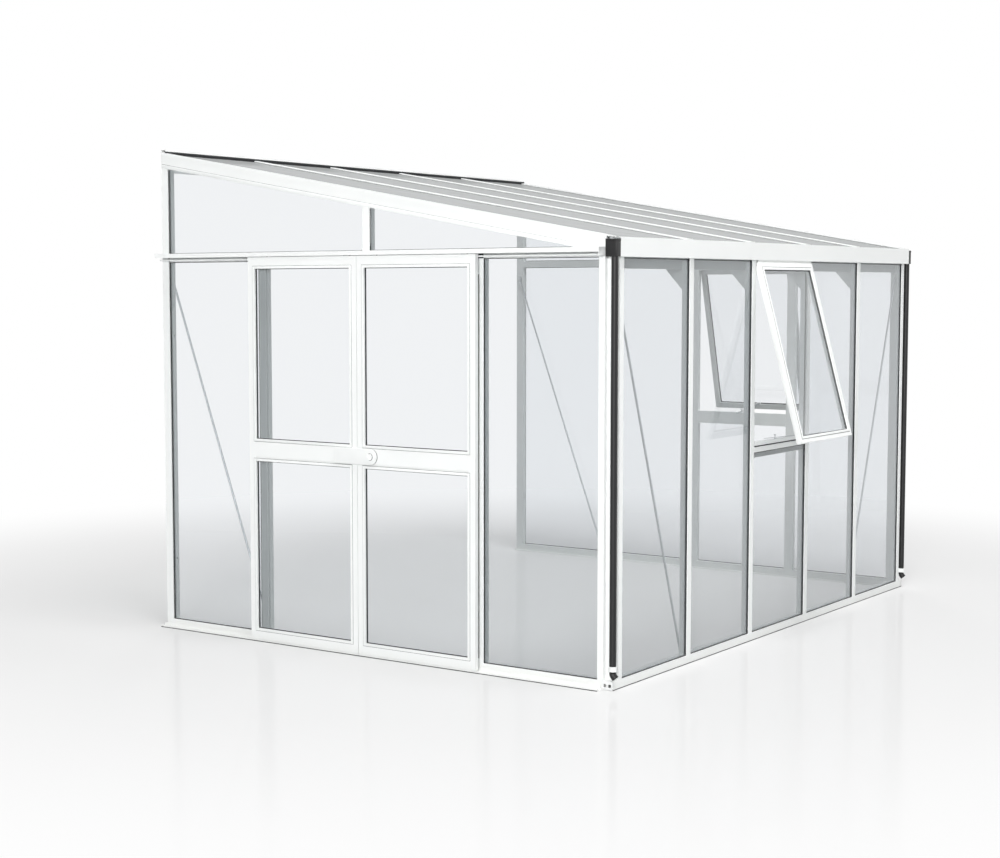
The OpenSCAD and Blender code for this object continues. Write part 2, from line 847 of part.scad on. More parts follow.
// Wall plate: the hollow rail that the roof bars end at, bolted back
module wall_plate() {
    front = depth - inner_v;
    color(white_coat)
        near_side()
            difference() {
                along_u(inner_v, length - inner_v)
                    difference() {
                        polygon([
                            [front, plate_z], [depth, plate_z],
                            [depth, roof_z(depth, seat_n)], [front, roof_z(front, seat_n)]]);
                        polygon([
                            [front + wall_t, plate_z + wall_t], [depth - wall_t, plate_z + wall_t],
                            [depth - wall_t, roof_z(depth - wall_t, seat_n - wall_t)],
                            [front + wall_t, roof_z(front + wall_t, seat_n - wall_t)]]);
                    }
                for (i = [1 : front_bays - 1])
                    round_v(bar_u(i), front - cut, plate_z + plate_h / 2, rear_bolt_r, inner_v + 2 * cut);
            }
}

// Verge rafter: a box with an outer lip and bead, and a groove under it for the gable panes
module verge() {
    box_top = seat_n - wall_t;
    difference() {
        up_roof(verge_start, depth)
            difference() {
                polygon([
                    [-verge_bead_out, 0], [glass_v, 0], [glass_v, seat_n], [inner_v, seat_n],
                    [inner_v, -verge_h], [seat_v, -verge_h], [seat_v, verge_groove - verge_h],
                    [glass_v, verge_groove - verge_h], [glass_v, -verge_h], [0, -verge_h],
                    [0, -verge_bead_h], [-verge_bead_out, -verge_bead_h]]);
                polygon([
                    [seat_v + wall_t, box_top], [inner_v - wall_t, box_top],
                    [inner_v - wall_t, wall_t - verge_h], [seat_v + wall_t, wall_t - verge_h]]);
            }
        translate([-block, 0, 0])
            cube([2 * block, depth, head_top]);
    }
}
module near_verge() color(white_coat) near_side() verge();
module far_verge() color(white_coat) far_side() verge();

// Roof bars, on the same lines as the front posts
module roof_bars() {
    color(white_coat)
        near_side()
            for (i = [1 : front_bays - 1])
                up_roof(inner_v, depth - inner_v)
                    translate([bar_u(i), -roof_drop])
                        mirror([0, 1])
                            bar_section(roof_bar_d);
}

// Flashing over the rear edge of the roof
module wall_flashing() {
    front = depth - flash_w;
    color(white_coat)
        near_side()
            along_u(0, length)
                polygon([
                    [front, flash_z], [front + flash_t, flash_z], [front + flash_t, flash_top - flash_t],
                    [depth - flash_t, flash_top - flash_t], [depth - flash_t, roof_z(depth, 0) + cut],
                    [depth, roof_z(depth, 0) + cut], [depth, flash_top], [front, flash_top]]);
}

// Fixed rails of a window bay: the transom under the sash and the head with the hinge bead
module window_rails(i) {
    a = bar_u(i - 1);
    b = bar_u(i);
    side = bar_w / 2;
    plate = side - sash_gap;
    along_u(a + side, b - side) {
        box_section(seat_v, transom_z, bar_d, transom_h);
        box_section(seat_v, eaves_h - window_head_h, bar_d, window_head_h);
    }
    along_u(a + cap_w / 2, b - cap_w / 2)
        polygon([
            [0, strip_z], [glass_v, strip_z], [glass_v, strip_z + strip_groove],
            [seat_v, strip_z + strip_groove], [seat_v, strip_top], [0, strip_top]]);
    along_u(a + plate, b - plate) {
        translate([-hinge_plate_out, eaves_h - hinge_plate_t])
            square([hinge_plate_out + seat_v, hinge_plate_t]);
        translate([-hinge_out - neck_t / 2, hinge_z])
            square([neck_t, hinge_drop - hinge_plate_t]);
    }
    round_u(a + plate, b - plate, -hinge_out, hinge_z, hinge_r);
}
module front_window_rails() color(white_coat) near_side() window_rails(front_window);
module far_window_rails() color(white_coat) far_gable() window_rails(far_window);

// Knee braces: a gusset with two flanges between each front post and its roof bar
module knee_brace(i) {
    low = eaves_h - knee_drop;
    x = bar_u(i);
    rear_z = roof_z(beam_rear, under_n);
    tip_z = roof_z(knee_run, under_n);
    drop = knee_t / cos(roof_angle);
    along_u(x - knee_t / 2, x + knee_t / 2)
        polygon([
            [inner_v, low], [inner_v, beam_low], [beam_rear, beam_low],
            [beam_rear, rear_z], [knee_run, tip_z]]);
    translate([x - knee_flange / 2, inner_v, low])
        cube([knee_flange, knee_t, beam_low - low]);
    along_u(x - knee_flange / 2, x + knee_flange / 2)
        polygon([
            [beam_rear, rear_z], [knee_run, tip_z], [knee_run, tip_z - drop], [beam_rear, rear_z - drop]]);
}
module knee_braces() color(white_coat) near_side() for (i = [1 : front_bays - 1]) knee_brace(i);

// Brace rods: thin round rods across the end bays, with a lug at each end
module brace_rod(u0, z0, u1, z1) {
    run = u1 - u0;
    rise = z1 - z0;
    translate([u0, inner_v + rod_d / 2, z0])
        rotate([0, atan2(run, rise), 0])
            cylinder(d = rod_d, h = sqrt(run * run + rise * rise));
    for (end = [[u0, z0], [u1, z1]])
        translate([end[0] - lug_w / 2, inner_v, end[1] - lug_h / 2])
            cube([lug_w, lug_t, lug_h]);
}
rod_top = eaves_h - rod_top_drop;
front_rod_top_u = corner_to_bar + rod_off;
front_rod_foot_u = bar_u(1) - rod_off;
gable_rod_top_u = bar_u(gable_bays);
gable_rod_foot_u = bar_u(gable_bays - 1) + rod_off;
module brace_rods() {
    color(bare_steel) {
        both_sides()
            brace_rod(front_rod_foot_u, rod_foot, front_rod_top_u, rod_top);
        both_gables()
            brace_rod(gable_rod_foot_u, rod_foot, gable_rod_top_u, rod_top);
    }
}

// Bolt heads on the knee braces and the rod lugs
module lug_bolt(u, z) round_v(u, inner_v + lug_t, z, bolt_r, bolt_h);
module frame_bolts() {
    off = knee_flange / 4 + knee_t / 4;
    low = eaves_h - knee_drop;
    step = lug_h / 4 + bolt_r / 5;
    color(bare_steel) {
        near_side()
            for (i = [1 : front_bays - 1], side = [-off, off]) {
                for (z = [low + bolt_edge, beam_low - bolt_edge])
                    round_v(bar_u(i) + side, inner_v + knee_t, z, bolt_r, bolt_h);
                for (y = [beam_rear + 2 * bolt_edge, knee_run - 1.5 * bolt_edge])
                    translate([0, 0, roof_z0])
                        rotate([roof_angle, 0, 0])
                            translate([bar_u(i) + side, roof_s(y, under_n), under_n - knee_t - bolt_h])
                                cylinder(r = bolt_r, h = bolt_h);
            }
        both_sides() {
            lug_bolt(front_rod_top_u, rod_top + step);
            lug_bolt(front_rod_foot_u, rod_foot - step);
        }
        both_gables() {
            lug_bolt(gable_rod_top_u, rod_top + step);
            lug_bolt(gable_rod_foot_u, rod_foot - step);
        }
    }
}

// Panes
slant_n = verge_groove - verge_h - pane_lift;
module slanted_pane(u0, u1) {
    low = head_top - head_top_groove;
    face_plate(glass_v, glass_t)
        polygon([[u0, low], [u1, low], [u1, roof_z(u1, slant_n)], [u0, roof_z(u0, slant_n)]]);
}
module slanted_panes() {
    slanted_pane(roof_y(head_top + slant_edge, slant_n), bar_u(2) - pane_edge);
    slanted_pane(bar_u(2) + pane_edge, bar_u(gable_bays) - pane_edge);
}
window_pane_top = strip_z + strip_groove - pane_lift;
module front_glass() {
    color(clear_glass)
        near_side()
            for (i = [0 : front_bays - 1])
                pane(i, pane_low, i == front_window - 1 ? window_pane_top : eaves_h - pane_lift);
}
gable_pane_top = eaves_h + head_low_groove - pane_lift;
module near_gable_glass() {
    color(clear_glass)
        near_gable() {
            for (i = fixed_bays)
                pane(i, pane_low, gable_pane_top);
            slanted_panes();
        }
}
module far_gable_glass() {
    color(clear_glass)
        far_gable() {
            for (i = [0 : gable_bays - 1])
                pane(i, pane_low, i == far_window - 1 ? window_pane_top : gable_pane_top);
            slanted_panes();
        }
}
module roof_glass() {
    edge = glass_v + edge_gap;
    color(clear_glass)
        near_side()
            for (i = [0 : front_bays - 1]) {
                a = i == 0 ? edge : bar_u(i) + pane_edge;
                b = i == front_bays - 1 ? length - edge : bar_u(i + 1) - pane_edge;
                up_roof(roof_glass_front, depth - roof_glass_rear)
                    translate([a, seat_n])
                        square([b - a, glass_t]);
            }
}

// White caps over every bar, and along both verges
module glazing_caps() {
    color(white_coat) {
        near_side()
            for (i = [1 : front_bays - 1]) {
                upright_cap(i, sill_h, eaves_h);
                up_roof(roof_cap_front, depth - roof_cap_rear)
                    translate([bar_u(i), -roof_drop])
                        mirror([0, 1])
                            cap_section();
            }
        both_sides()
            up_roof(roof_cap_front, depth - roof_cap_rear)
                translate([glass_v, cap_n])
                    square([verge_cap_w, cap_t]);
        near_gable()
            for (i = [1, 3])
                upright_cap(i, sill_h, eaves_h);
        far_gable()
            for (i = [1 : gable_bays - 1])
                upright_cap(i, sill_h, eaves_h);
        difference() {
            both_gables() upright_cap(2, head_top, roof_z0 + depth);
            above_roof(-verge_h);
        }
    }
}

// Rubber strips under the caps, one along each edge of a pane, and the seal under the flashing
module gasket(i, side, z1)
    translate([bar_u(i) + side * (gasket_off + gasket_w / 2) - gasket_w / 2, cap_t, sill_h])
        cube([gasket_w, gasket_t, z1 - sill_h]);
module glazing_gaskets() {
    color(black_rubber) {
        near_side() {
            for (i = [0 : front_bays - 1]) {
                top = i == front_window - 1 ? strip_z : eaves_h - pane_lift;
                gasket(i, 1, top);
                gasket(i + 1, -1, top);
            }
            for (i = [1 : front_bays - 1], side = [-1, 1])
                up_roof(roof_cap_front, depth - roof_cap_rear)
                    translate([bar_u(i) + side * (gasket_off + gasket_w / 2) - gasket_w / 2, glass_n])
                        square([gasket_w, gasket_t]);
            along_u(glass_v, length - glass_v)
                polygon([
                    [depth - seal_rear - seal_t, roof_z(depth - seal_rear - seal_t, glass_n)],
                    [depth - seal_rear, roof_z(depth - seal_rear, glass_n)],
                    [depth - seal_rear, flash_top - flash_t],
                    [depth - seal_rear - seal_t, flash_top - flash_t]]);
        }
        both_sides()
            up_roof(roof_cap_front, depth - roof_cap_rear)
                translate([glass_v + verge_cap_w / 2, glass_n])
                    square([gasket_w, gasket_t]);
        near_gable()
            for (i = fixed_bays) {
                gasket(i, 1, eaves_h);
                gasket(i + 1, -1, eaves_h);
            }
        far_gable()
            for (i = [0 : gable_bays - 1]) {
                top = i == far_window - 1 ? strip_z : eaves_h;
                gasket(i, 1, top);
                gasket(i + 1, -1, top);
            }
    }
}

// Rain water: an outlet box on each gutter end, a pipe, a clip and a shoe at each corner
module outlet_box() {
    side = pipe_in - box_half;
    deep = gutter_out + inner_v + box_rear;
    difference() {
        translate([side, -gutter_out, eaves_h])
            cube([2 * box_half, deep, box_h]);
        translate([side + box_t, box_t - gutter_out, eaves_h + box_t])
            cube([2 * box_half, deep - 2 * box_t, box_h - 2 * box_t]);
        translate([pipe_in, pipe_in, eaves_h - cut])
            cylinder(r = pipe_r + pipe_gap, h = box_t + 2 * cut);
    }
}
module downpipe()
    translate([pipe_in, pipe_in, pipe_foot])
        difference() {
            cylinder(r = pipe_r, h = eaves_h + box_t - pipe_foot);
            translate([0, 0, -cut])
                cylinder(r = pipe_r - pipe_t, h = eaves_h + box_t - pipe_foot + 2 * cut);
        }
module pipe_clip() {
    foot = recess_d + clip_foot;
    near = pipe_in + pipe_r / 2;
    difference() {
        union() {
            translate([pipe_in, pipe_in, pipe_foot])
                cylinder(r = pipe_r + pipe_gap + clip_t, h = clip_h);
            translate([0, 0, pipe_foot])
                linear_extrude(clip_h)
                    polygon([
                        [near, near], [foot, near], [foot, recess_d],
                        [recess_d, recess_d], [recess_d, foot], [near, foot]]);
        }
        translate([pipe_in, pipe_in, pipe_foot - cut])
            cylinder(r = pipe_r + pipe_gap, h = clip_h + 2 * cut);
    }
}
module shoe_form(r, over) {
    translate([0, 0, -shoe_flare])
        cylinder(r = r, h = shoe_neck + shoe_flare + over);
    sphere(r = r + shoe_flare);
    rotate([-shoe_turn, 0, 0])
        translate([0, 0, -shoe_out - over])
            cylinder(r = r, h = shoe_out + over);
}
module drain_shoe()
    translate([pipe_in, pipe_in, pipe_foot - shoe_neck])
        difference() {
            shoe_form(pipe_r, 0);
            shoe_form(pipe_r - pipe_t, cut);
        }
module outlet_boxes() color(black_plastic) both_sides() outlet_box();
module downpipes() color(black_plastic) both_sides() downpipe();
module pipe_clips() color(white_plastic) both_sides() pipe_clip();
module drain_shoes() color(black_plastic) both_sides() drain_shoe();

// Door leaf, from its front end u0: hollow stiles, three rails, and beads on both sides of the panes
module leaf_opening(u0, z0, z1, v0, v1, low, high, side)
    translate([u0 + stile_w + side, v0, z0 + low])
        cube([leaf_w - 2 * stile_w - 2 * side, v1 - v0, z1 - z0 - low - high]);
module leaf_bead(u0, z0, z1, low, high)
    for (v0 = [-leaf_mid - glass_t / 2 - bead_t, -leaf_mid + glass_t / 2])
        difference() {
            leaf_opening(u0, z0, z1, v0, v0 + bead_t, 0, 0, 0);
            leaf_opening(u0, z0, z1, v0 - cut, v0 + bead_t + cut, low, high, stile_bead);
        }
low_z0 = leaf_foot + low_rail_h;
high_z0 = mid_rail_z + mid_rail_h;
high_z1 = leaf_top - top_rail_h;
module leaf_frame(u0) {
    difference() {
        translate([u0, -leaf_out, leaf_foot])
            cube([leaf_w, leaf_t, leaf_top - leaf_foot]);
        leaf_opening(u0, low_z0, mid_rail_z, -leaf_out - cut, cut - leaf_in, 0, 0, 0);
        leaf_opening(u0, high_z0, high_z1, -leaf_out - cut, cut - leaf_in, 0, 0, 0);
        for (u = [u0 + wall_t, u0 + leaf_w - stile_w + wall_t])
            translate([u, wall_t - leaf_out, leaf_foot - cut])
                cube([stile_w - 2 * wall_t, leaf_t - 2 * wall_t, leaf_top - leaf_foot + 2 * cut]);
    }
    leaf_bead(u0, low_z0, mid_rail_z, rail_bead, mid_bead);
    leaf_bead(u0, high_z0, high_z1, mid_bead, rail_bead);
}
module leaf_glass(u0)
    for (z = [[low_z0, mid_rail_z], [high_z0, high_z1]])
        leaf_opening(u0, z[0], z[1], -leaf_mid - glass_t / 2, glass_t / 2 - leaf_mid,
                     pane_gap, pane_gap, pane_gap);
module left_leaf_frame() color(white_coat) near_gable() leaf_frame(left_u);
module right_leaf_frame() color(white_coat) near_gable() leaf_frame(right_u);
module left_leaf_glass() color(clear_glass) near_gable() leaf_glass(left_u);
module right_leaf_glass() color(clear_glass) near_gable() leaf_glass(right_u);

// Hangers with their axles, and the bottom guides that straddle the rib
module hanger(u) {
    plate_v = hanger_t - leaf_in;
    hub_v = -shelf_w - side_gap;
    end_v = wheel_w - shelf_w + side_gap;
    translate([u - hanger_w / 2, -leaf_in, leaf_top - hanger_lap])
        cube([hanger_w, hanger_t, hanger_lap + wheel_z - leaf_top + axle_r + hanger_up]);
    round_v(u, plate_v, wheel_z, axle_r + hub_t, hub_v - plate_v);
    round_v(u, plate_v, wheel_z, axle_r, end_v + hub_t - plate_v);
    round_v(u, end_v, wheel_z, axle_r + hub_t, hub_t);
    for (z = [hanger_lap / 3, hanger_lap * 2 / 3])
        round_v(u, plate_v, leaf_top - z, bolt_r - 1, bolt_h - 1);
}
module guide(u) {
    slot_out = -rib_out - rib_t / 2 - guide_gap;
    slot_in = -rib_out + rib_t / 2 + guide_gap;
    slot_top = rib_h + guide_lift;
    end_v = slot_in + guide_cheek;
    along_u(u - guide_w / 2, u + guide_w / 2)
        polygon([
            [-leaf_in, guide_low], [slot_out, guide_low], [slot_out, slot_top], [slot_in, slot_top],
            [slot_in, guide_low], [end_v, guide_low], [end_v, guide_top], [-leaf_in, guide_top]]);
}
module leaf_fittings(u0)
    for (u = [u0 + hanger_in, u0 + leaf_w - hanger_in]) {
        hanger(u);
        guide(u);
    }
module left_leaf_fittings() color(bare_steel) near_gable() leaf_fittings(left_u);
module right_leaf_fittings() color(bare_steel) near_gable() leaf_fittings(right_u);

// Grooved door wheel
module door_wheel(u) {
    groove = rail_t + 2 * rail_gap;
    rim = (wheel_w - groove) / 2;
    color(black_plastic)
        near_gable()
            difference() {
                union() {
                    round_v(u, -shelf_w, wheel_z, wheel_r, wheel_w);
                    round_v(u, -shelf_w, wheel_z, wheel_r + wheel_flange, rim);
                    round_v(u, wheel_w - shelf_w - rim, wheel_z, wheel_r + wheel_flange, rim);
                }
                round_v(u, -shelf_w - cut, wheel_z, axle_r + run_gap, wheel_w + 2 * cut);
            }
}
module left_wheel_front() door_wheel(left_u + hanger_in);
module left_wheel_rear() door_wheel(left_u + leaf_w - hanger_in);
module right_wheel_front() door_wheel(right_u + hanger_in);
module right_wheel_rear() door_wheel(right_u + leaf_w - hanger_in);

// Lock case on the right leaf, lapping over the left one, and its turn knob
knob_u = meet_u - lock_back;
module lock_case() {
    face_v = -leaf_out - lock_t;
    color(white_plastic)
        near_gable()
            difference() {
                face_plate(face_v, lock_t) {
                    translate([knob_u, lock_z])
                        circle(r = lock_h / 2);
                    translate([knob_u, lock_z - lock_h / 2])
                        square([lock_back + lock_ahead, lock_h]);
                }
                translate([meet_u - leaf_gap / 2, -leaf_out - lock_gap, lock_z - lock_h])
                    cube([2 * lock_ahead, lock_t, 2 * lock_h]);
                round_v(knob_u, face_v - cut, lock_z, spindle_r + run_gap, spindle_in + cut + side_gap);
            }
}
module lock_knob() {
    disc_v = -leaf_out - lock_t - side_gap - knob_t;
    color(white_plastic)
        near_gable() {
            round_v(knob_u, disc_v, lock_z, knob_r, knob_t);
            round_v(knob_u, disc_v, lock_z, spindle_r, knob_t + side_gap + spindle_in);
            intersection() {
                translate([knob_u - wing_t / 2, disc_v - wing_h, lock_z - knob_r])
                    cube([wing_t, wing_h, 2 * knob_r]);
                round_v(knob_u, disc_v - wing_h, lock_z, knob_r - 1, wing_h);
            }
        }
}

// Window sash: an outer ring that laps over the caps, an inner ring in the opening,
// and a hook around the hinge bead
module opened()
    translate([0, -hinge_out, hinge_z])
        rotate([-window_open, 0, 0])
            translate([0, hinge_out, -hinge_z])
                children();
module sash_block(u0, u1, v0, v1, z0, z1)
    translate([u0, v0, z0])
        cube([u1 - u0, v1 - v0, z1 - z0]);
module sash_frame(i) {
    a = bar_u(i - 1) + cap_w / 2 - sash_lap;
    b = bar_u(i) - cap_w / 2 + sash_lap;
    edge = sash_lap + ring_gap;
    hook_a = bar_u(i - 1) + bar_w / 2 - sash_gap;
    hook_b = bar_u(i) - bar_w / 2 + sash_gap;
    out_v = -sash_gap - sash_t;
    slot = sash_bite + 1;
    mid = (a + b) / 2;
    fork = stay_w / 2 + side_gap;
    difference() {
        union() {
            sash_block(a, b, out_v, -sash_gap, sash_low, sash_top);
            sash_block(a + edge, b - edge, -sash_gap, ring_in, ring_low, ring_top);
            round_u(hook_a, hook_b, -hinge_out, hinge_z, hook_r);
        }
        sash_block(a + sash_face, b - sash_face, out_v - cut, ring_in + cut,
                   sash_low + sash_face, sash_top - sash_face);
        sash_block(a + sash_face - slot, b - sash_face + slot, out_v + sash_glass_in,
                   out_v + sash_glass_in + glass_t, sash_low + sash_face - slot, sash_top - sash_face + slot);
        round_u(a - cut, b + cut, -hinge_out, hinge_z, hinge_r + hinge_gap);
        along_u(hook_a - cut, hook_b + cut)
            translate([-hinge_out, hinge_z])
                polygon([
                    [0, 0], 3 * hook_r * [-sin(mouth_out), cos(mouth_out)], [0, 3 * hook_r],
                    3 * hook_r * [sin(mouth_in), cos(mouth_in)]]);
    }
    // Bracket of the stay: a back plate, two ears and the pin across them
    for (side = [-1, 1])
        translate([mid + side * (fork + ear_t / 2) - ear_t / 2, ring_in, pin_z - bracket_down])
            cube([ear_t, pin_in + ear_over, bracket_down + bracket_up]);
    sash_block(mid - fork, mid + fork, ring_in, pin_v - eye_r - eye_gap,
               pin_z - bracket_down, pin_z + bracket_up);
    round_u(mid - fork - ear_t, mid + fork + ear_t, pin_v, pin_z, pin_r);
}
module sash_pane(i) {
    in = sash_face - sash_bite;
    a = bar_u(i - 1) + cap_w / 2 - sash_lap + in;
    b = bar_u(i) - cap_w / 2 + sash_lap - in;
    v = sash_glass_in - sash_gap - sash_t;
    sash_block(a, b, v, v + glass_t, sash_low + in, sash_top - in);
}
module front_sash() color(white_coat) near_side() opened() sash_frame(front_window);
module far_sash() color(white_coat) far_gable() opened() sash_frame(far_window);
module front_sash_glass() color(clear_glass) near_side() opened() sash_pane(front_window);
module far_sash_glass() color(clear_glass) far_gable() opened() sash_pane(far_window);

// Slotted stay: a flat bar with an eye around the bracket's pin
module window_stay(i) {
    mid = bar_u(i) - bay / 2;
    translate([mid, pin_v, pin_z])
        rotate([stay_turn * window_open, 0, 0])
            difference() {
                union() {
                    translate([-stay_w / 2, 0, -stay_t / 2])
                        cube([stay_w, stay_len, stay_t]);
                    round_u(-stay_w / 2, stay_w / 2, 0, 0, eye_r);
                }
                round_u(-stay_w, stay_w, 0, 0, pin_r + run_gap);
                translate([-slot_w / 2, slot_start + slot_w / 2, -stay_t])
                    cube([slot_w, slot_end - slot_start - slot_w, 2 * stay_t]);
                for (y = [slot_start + slot_w / 2, slot_end - slot_w / 2])
                    translate([0, y, -stay_t])
                        cylinder(d = slot_w, h = 2 * stay_t);
            }
}
module front_stay() color(bare_steel) near_side() opened() window_stay(front_window);
module far_stay() color(bare_steel) far_gable() opened() window_stay(far_window);

// Pegs on the transoms, with a cross head that keeps the stay on
module stay_peg(i) {
    mid = bar_u(i) - bay / 2;
    under = pin_lift + stay_t / 2 + peg_gap;
    translate([mid, peg_v, transom_top]) {
        cylinder(r = peg_r, h = under + peg_head_t);
        translate([-peg_head / 2, -peg_r, under])
            cube([peg_head, 2 * peg_r, peg_head_t]);
    }
}
module stay_pegs() {
    color(bare_steel) {
        near_side() stay_peg(front_window);
        far_gable() stay_peg(far_window);
    }
}

front_sill();
near_sill();
far_sill();
near_corner_post();
far_corner_post();
near_wall_post();
far_wall_post();
for (i = [1 : front_bays - 1])
    front_post(i);
for (i = [1 : gable_bays - 1])
    far_post(i);
door_jambs();
gable_top_posts();
near_head_rail();
far_head_rail();
gutter_tray();
gutter_fascia();
eaves_beam();
wall_plate();
near_verge();
far_verge();
roof_bars();
wall_flashing();
front_window_rails();
far_window_rails();
knee_braces();
brace_rods();
front_glass();
near_gable_glass();
far_gable_glass();
roof_glass();
glazing_caps();
glazing_gaskets();
outlet_boxes();
downpipes();
pipe_clips();
drain_shoes();
frame_bolts();
stay_pegs();
left_leaf_frame();
left_leaf_glass();
left_leaf_fittings();
left_wheel_front();
left_wheel_rear();
right_leaf_frame();
right_leaf_glass();
right_leaf_fittings();
right_wheel_front();
right_wheel_rear();
lock_case();
lock_knob();
front_sash();
front_sash_glass();
front_stay();
far_sash();
far_sash_glass();
far_stay();
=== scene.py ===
# Lean-to greenhouse of white powder-coated aluminium and glass, dressed for looks. Metres, +Z up.
# The origin is the middle of the front sill's underside; +X runs along the front, +Y to the rear.
import math

import bpy
from mathutils import Matrix, Vector


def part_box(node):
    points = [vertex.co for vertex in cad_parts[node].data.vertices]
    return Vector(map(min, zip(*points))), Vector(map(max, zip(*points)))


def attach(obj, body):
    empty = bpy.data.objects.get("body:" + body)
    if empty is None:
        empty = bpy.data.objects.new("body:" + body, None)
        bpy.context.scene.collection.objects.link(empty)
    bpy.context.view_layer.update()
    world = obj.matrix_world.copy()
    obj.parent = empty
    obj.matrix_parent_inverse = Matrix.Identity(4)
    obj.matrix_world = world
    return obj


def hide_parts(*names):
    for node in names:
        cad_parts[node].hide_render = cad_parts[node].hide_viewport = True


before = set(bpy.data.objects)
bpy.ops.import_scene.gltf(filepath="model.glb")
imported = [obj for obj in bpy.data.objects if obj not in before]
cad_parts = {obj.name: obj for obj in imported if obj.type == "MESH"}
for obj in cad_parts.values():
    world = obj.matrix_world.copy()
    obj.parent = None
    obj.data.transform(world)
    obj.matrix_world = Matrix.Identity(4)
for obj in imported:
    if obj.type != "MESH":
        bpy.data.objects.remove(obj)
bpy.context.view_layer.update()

# Camera
# A long lens stands at head height off the near corner, with the door gable on the left and the front on the right.
# Its place and turn are those of the photograph, so that every edge lies where it does there.
place = Vector((-9.419, -4.406, 1.974))
yaw, pitch, roll = math.radians(35.421), math.radians(4.574), math.radians(-0.101)
ahead = Vector((math.cos(yaw) * math.cos(pitch), math.sin(yaw) * math.cos(pitch), -math.sin(pitch)))
right = Vector((math.sin(yaw), -math.cos(yaw), 0))
up = right.cross(ahead)
tilted_right = math.cos(roll) * right + math.sin(roll) * up
tilted_up = math.cos(roll) * up - math.sin(roll) * right
lens = bpy.data.cameras.new("camera")
lens.lens, lens.sensor_width = 64.64, 36
lens.shift_x, lens.shift_y = 0.051, 0.0022
lens.clip_end = 200
camera = bpy.data.objects.new("camera", lens)
bpy.context.scene.collection.objects.link(camera)
turn = Matrix((tilted_right, tilted_up, -ahead)).transposed()
camera.matrix_world = Matrix.Translation(place) @ turn.to_4x4()
bpy.context.scene.camera = camera

# Sills, posts, rails, rafters, caps, gutter and flashing
# Extruded aluminium bars, cut square and screwed together, all in one white polyester powder coat. The coat is
# baked on, so it has no brush marks, only the faint orange peel that molten powder leaves.


def linear(colour):
    """A six-figure sRGB hex colour as linear RGBA."""
    parts = [int(colour[i:i + 2], 16) / 255 for i in (0, 2, 4)]
    return (*[c / 12.92 if c <= 0.04045 else ((c + 0.055) / 1.055) ** 2.4 for c in parts], 1)


def add(tree, kind, inputs=None, **settings):
    """Adds a shader node, sets it, and fills its inputs with values or other nodes' outputs."""
    node = tree.nodes.new("ShaderNode" + kind)
    for name, value in settings.items():
        setattr(node, name, value)
    for name, value in (inputs or {}).items():
        if isinstance(value, bpy.types.NodeSocket):
            tree.links.new(value, node.inputs[name])
        else:
            node.inputs[name].default_value = value
    return node


def new_material(name):
    """An empty material with its output node."""
    material = bpy.data.materials.new(name)
    material.use_nodes = True
    material.node_tree.nodes.clear()
    return material, material.node_tree, material.node_tree.nodes.new("ShaderNodeOutputMaterial")


def dress(material, *names):
    """Puts a material on CAD nodes."""
    for name in names:
        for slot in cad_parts[name].material_slots:
            slot.material = material


# Powder coat: satin, so lamps show as soft patches. Orange peel is about 2 mm from dimple to dimple, and the
# film's thickness varies over some 300 mm, which shifts its tone by a hair. Dust dulls the lowest 60 mm.
dimple_size, film_patch, speck_size, dust_height = 0.002, 0.3, 0.012, 0.06
powder_coat, tree, out = new_material("white_powder_coat")
where = add(tree, "TexCoord").outputs["Object"]
film = add(tree, "TexNoise", {"Vector": where, "Scale": 1 / film_patch, "Detail": 3.0}).outputs["Fac"]
tone = add(tree, "MixRGB", {"Fac": film, "Color1": linear("F7F8F7"), "Color2": linear("F1F3F2")}).outputs[0]
height = add(tree, "SeparateXYZ", {"Vector": where}).outputs["Z"]
low = add(tree, "MapRange", {
    "Value": height, "From Min": 0.0, "From Max": dust_height, "To Min": 0.5, "To Max": 0.0}).outputs[0]
specks = add(tree, "TexNoise", {"Vector": where, "Scale": 1 / speck_size, "Detail": 4.0}).outputs["Fac"]
dust = add(tree, "Math", {0: low, 1: specks}, operation="MULTIPLY").outputs[0]
dusty = add(tree, "MixRGB", {"Fac": dust, "Color1": tone, "Color2": linear("D9D8D2")}).outputs[0]
# Rain leaves a grey film on what lies nearly flat above the eaves
eaves_height, eaves_fade = 2.1, 2.15
facing = add(tree, "SeparateXYZ", {"Vector": add(tree, "NewGeometry").outputs["Normal"]}).outputs["Z"]
flat = add(tree, "MapRange", {"Value": facing, "From Min": 0.9, "From Max": 0.97}).outputs[0]
high = add(tree, "MapRange", {"Value": height, "From Min": eaves_height, "From Max": eaves_fade}).outputs[0]
rained = add(tree, "Math", {0: flat, 1: high}, operation="MULTIPLY").outputs[0]
weathered = add(tree, "MixRGB", {"Fac": rained, "Color1": dusty, "Color2": linear("CFD1D1")}).outputs[0]
shine = add(tree, "MapRange", {"Value": specks, "To Min": 0.36, "To Max": 0.48}).outputs[0]
peel = add(tree, "TexNoise", {"Vector": where, "Scale": 1 / dimple_size, "Detail": 1.0}).outputs["Fac"]
dimples = add(tree, "Bump", {"Height": peel, "Strength": 0.12, "Distance": 0.0002}).outputs[0]
coat = add(tree, "BsdfPrincipled", {"Base Color": weathered, "Roughness": shine, "Normal": dimples, "IOR": 1.5})
tree.links.new(coat.outputs[0], out.inputs["Surface"])
coated = [n for n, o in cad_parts.items()
          if o.material_slots and o.material_slots[0].material.name.startswith("white_coated")]
dress(powder_coat, *coated)

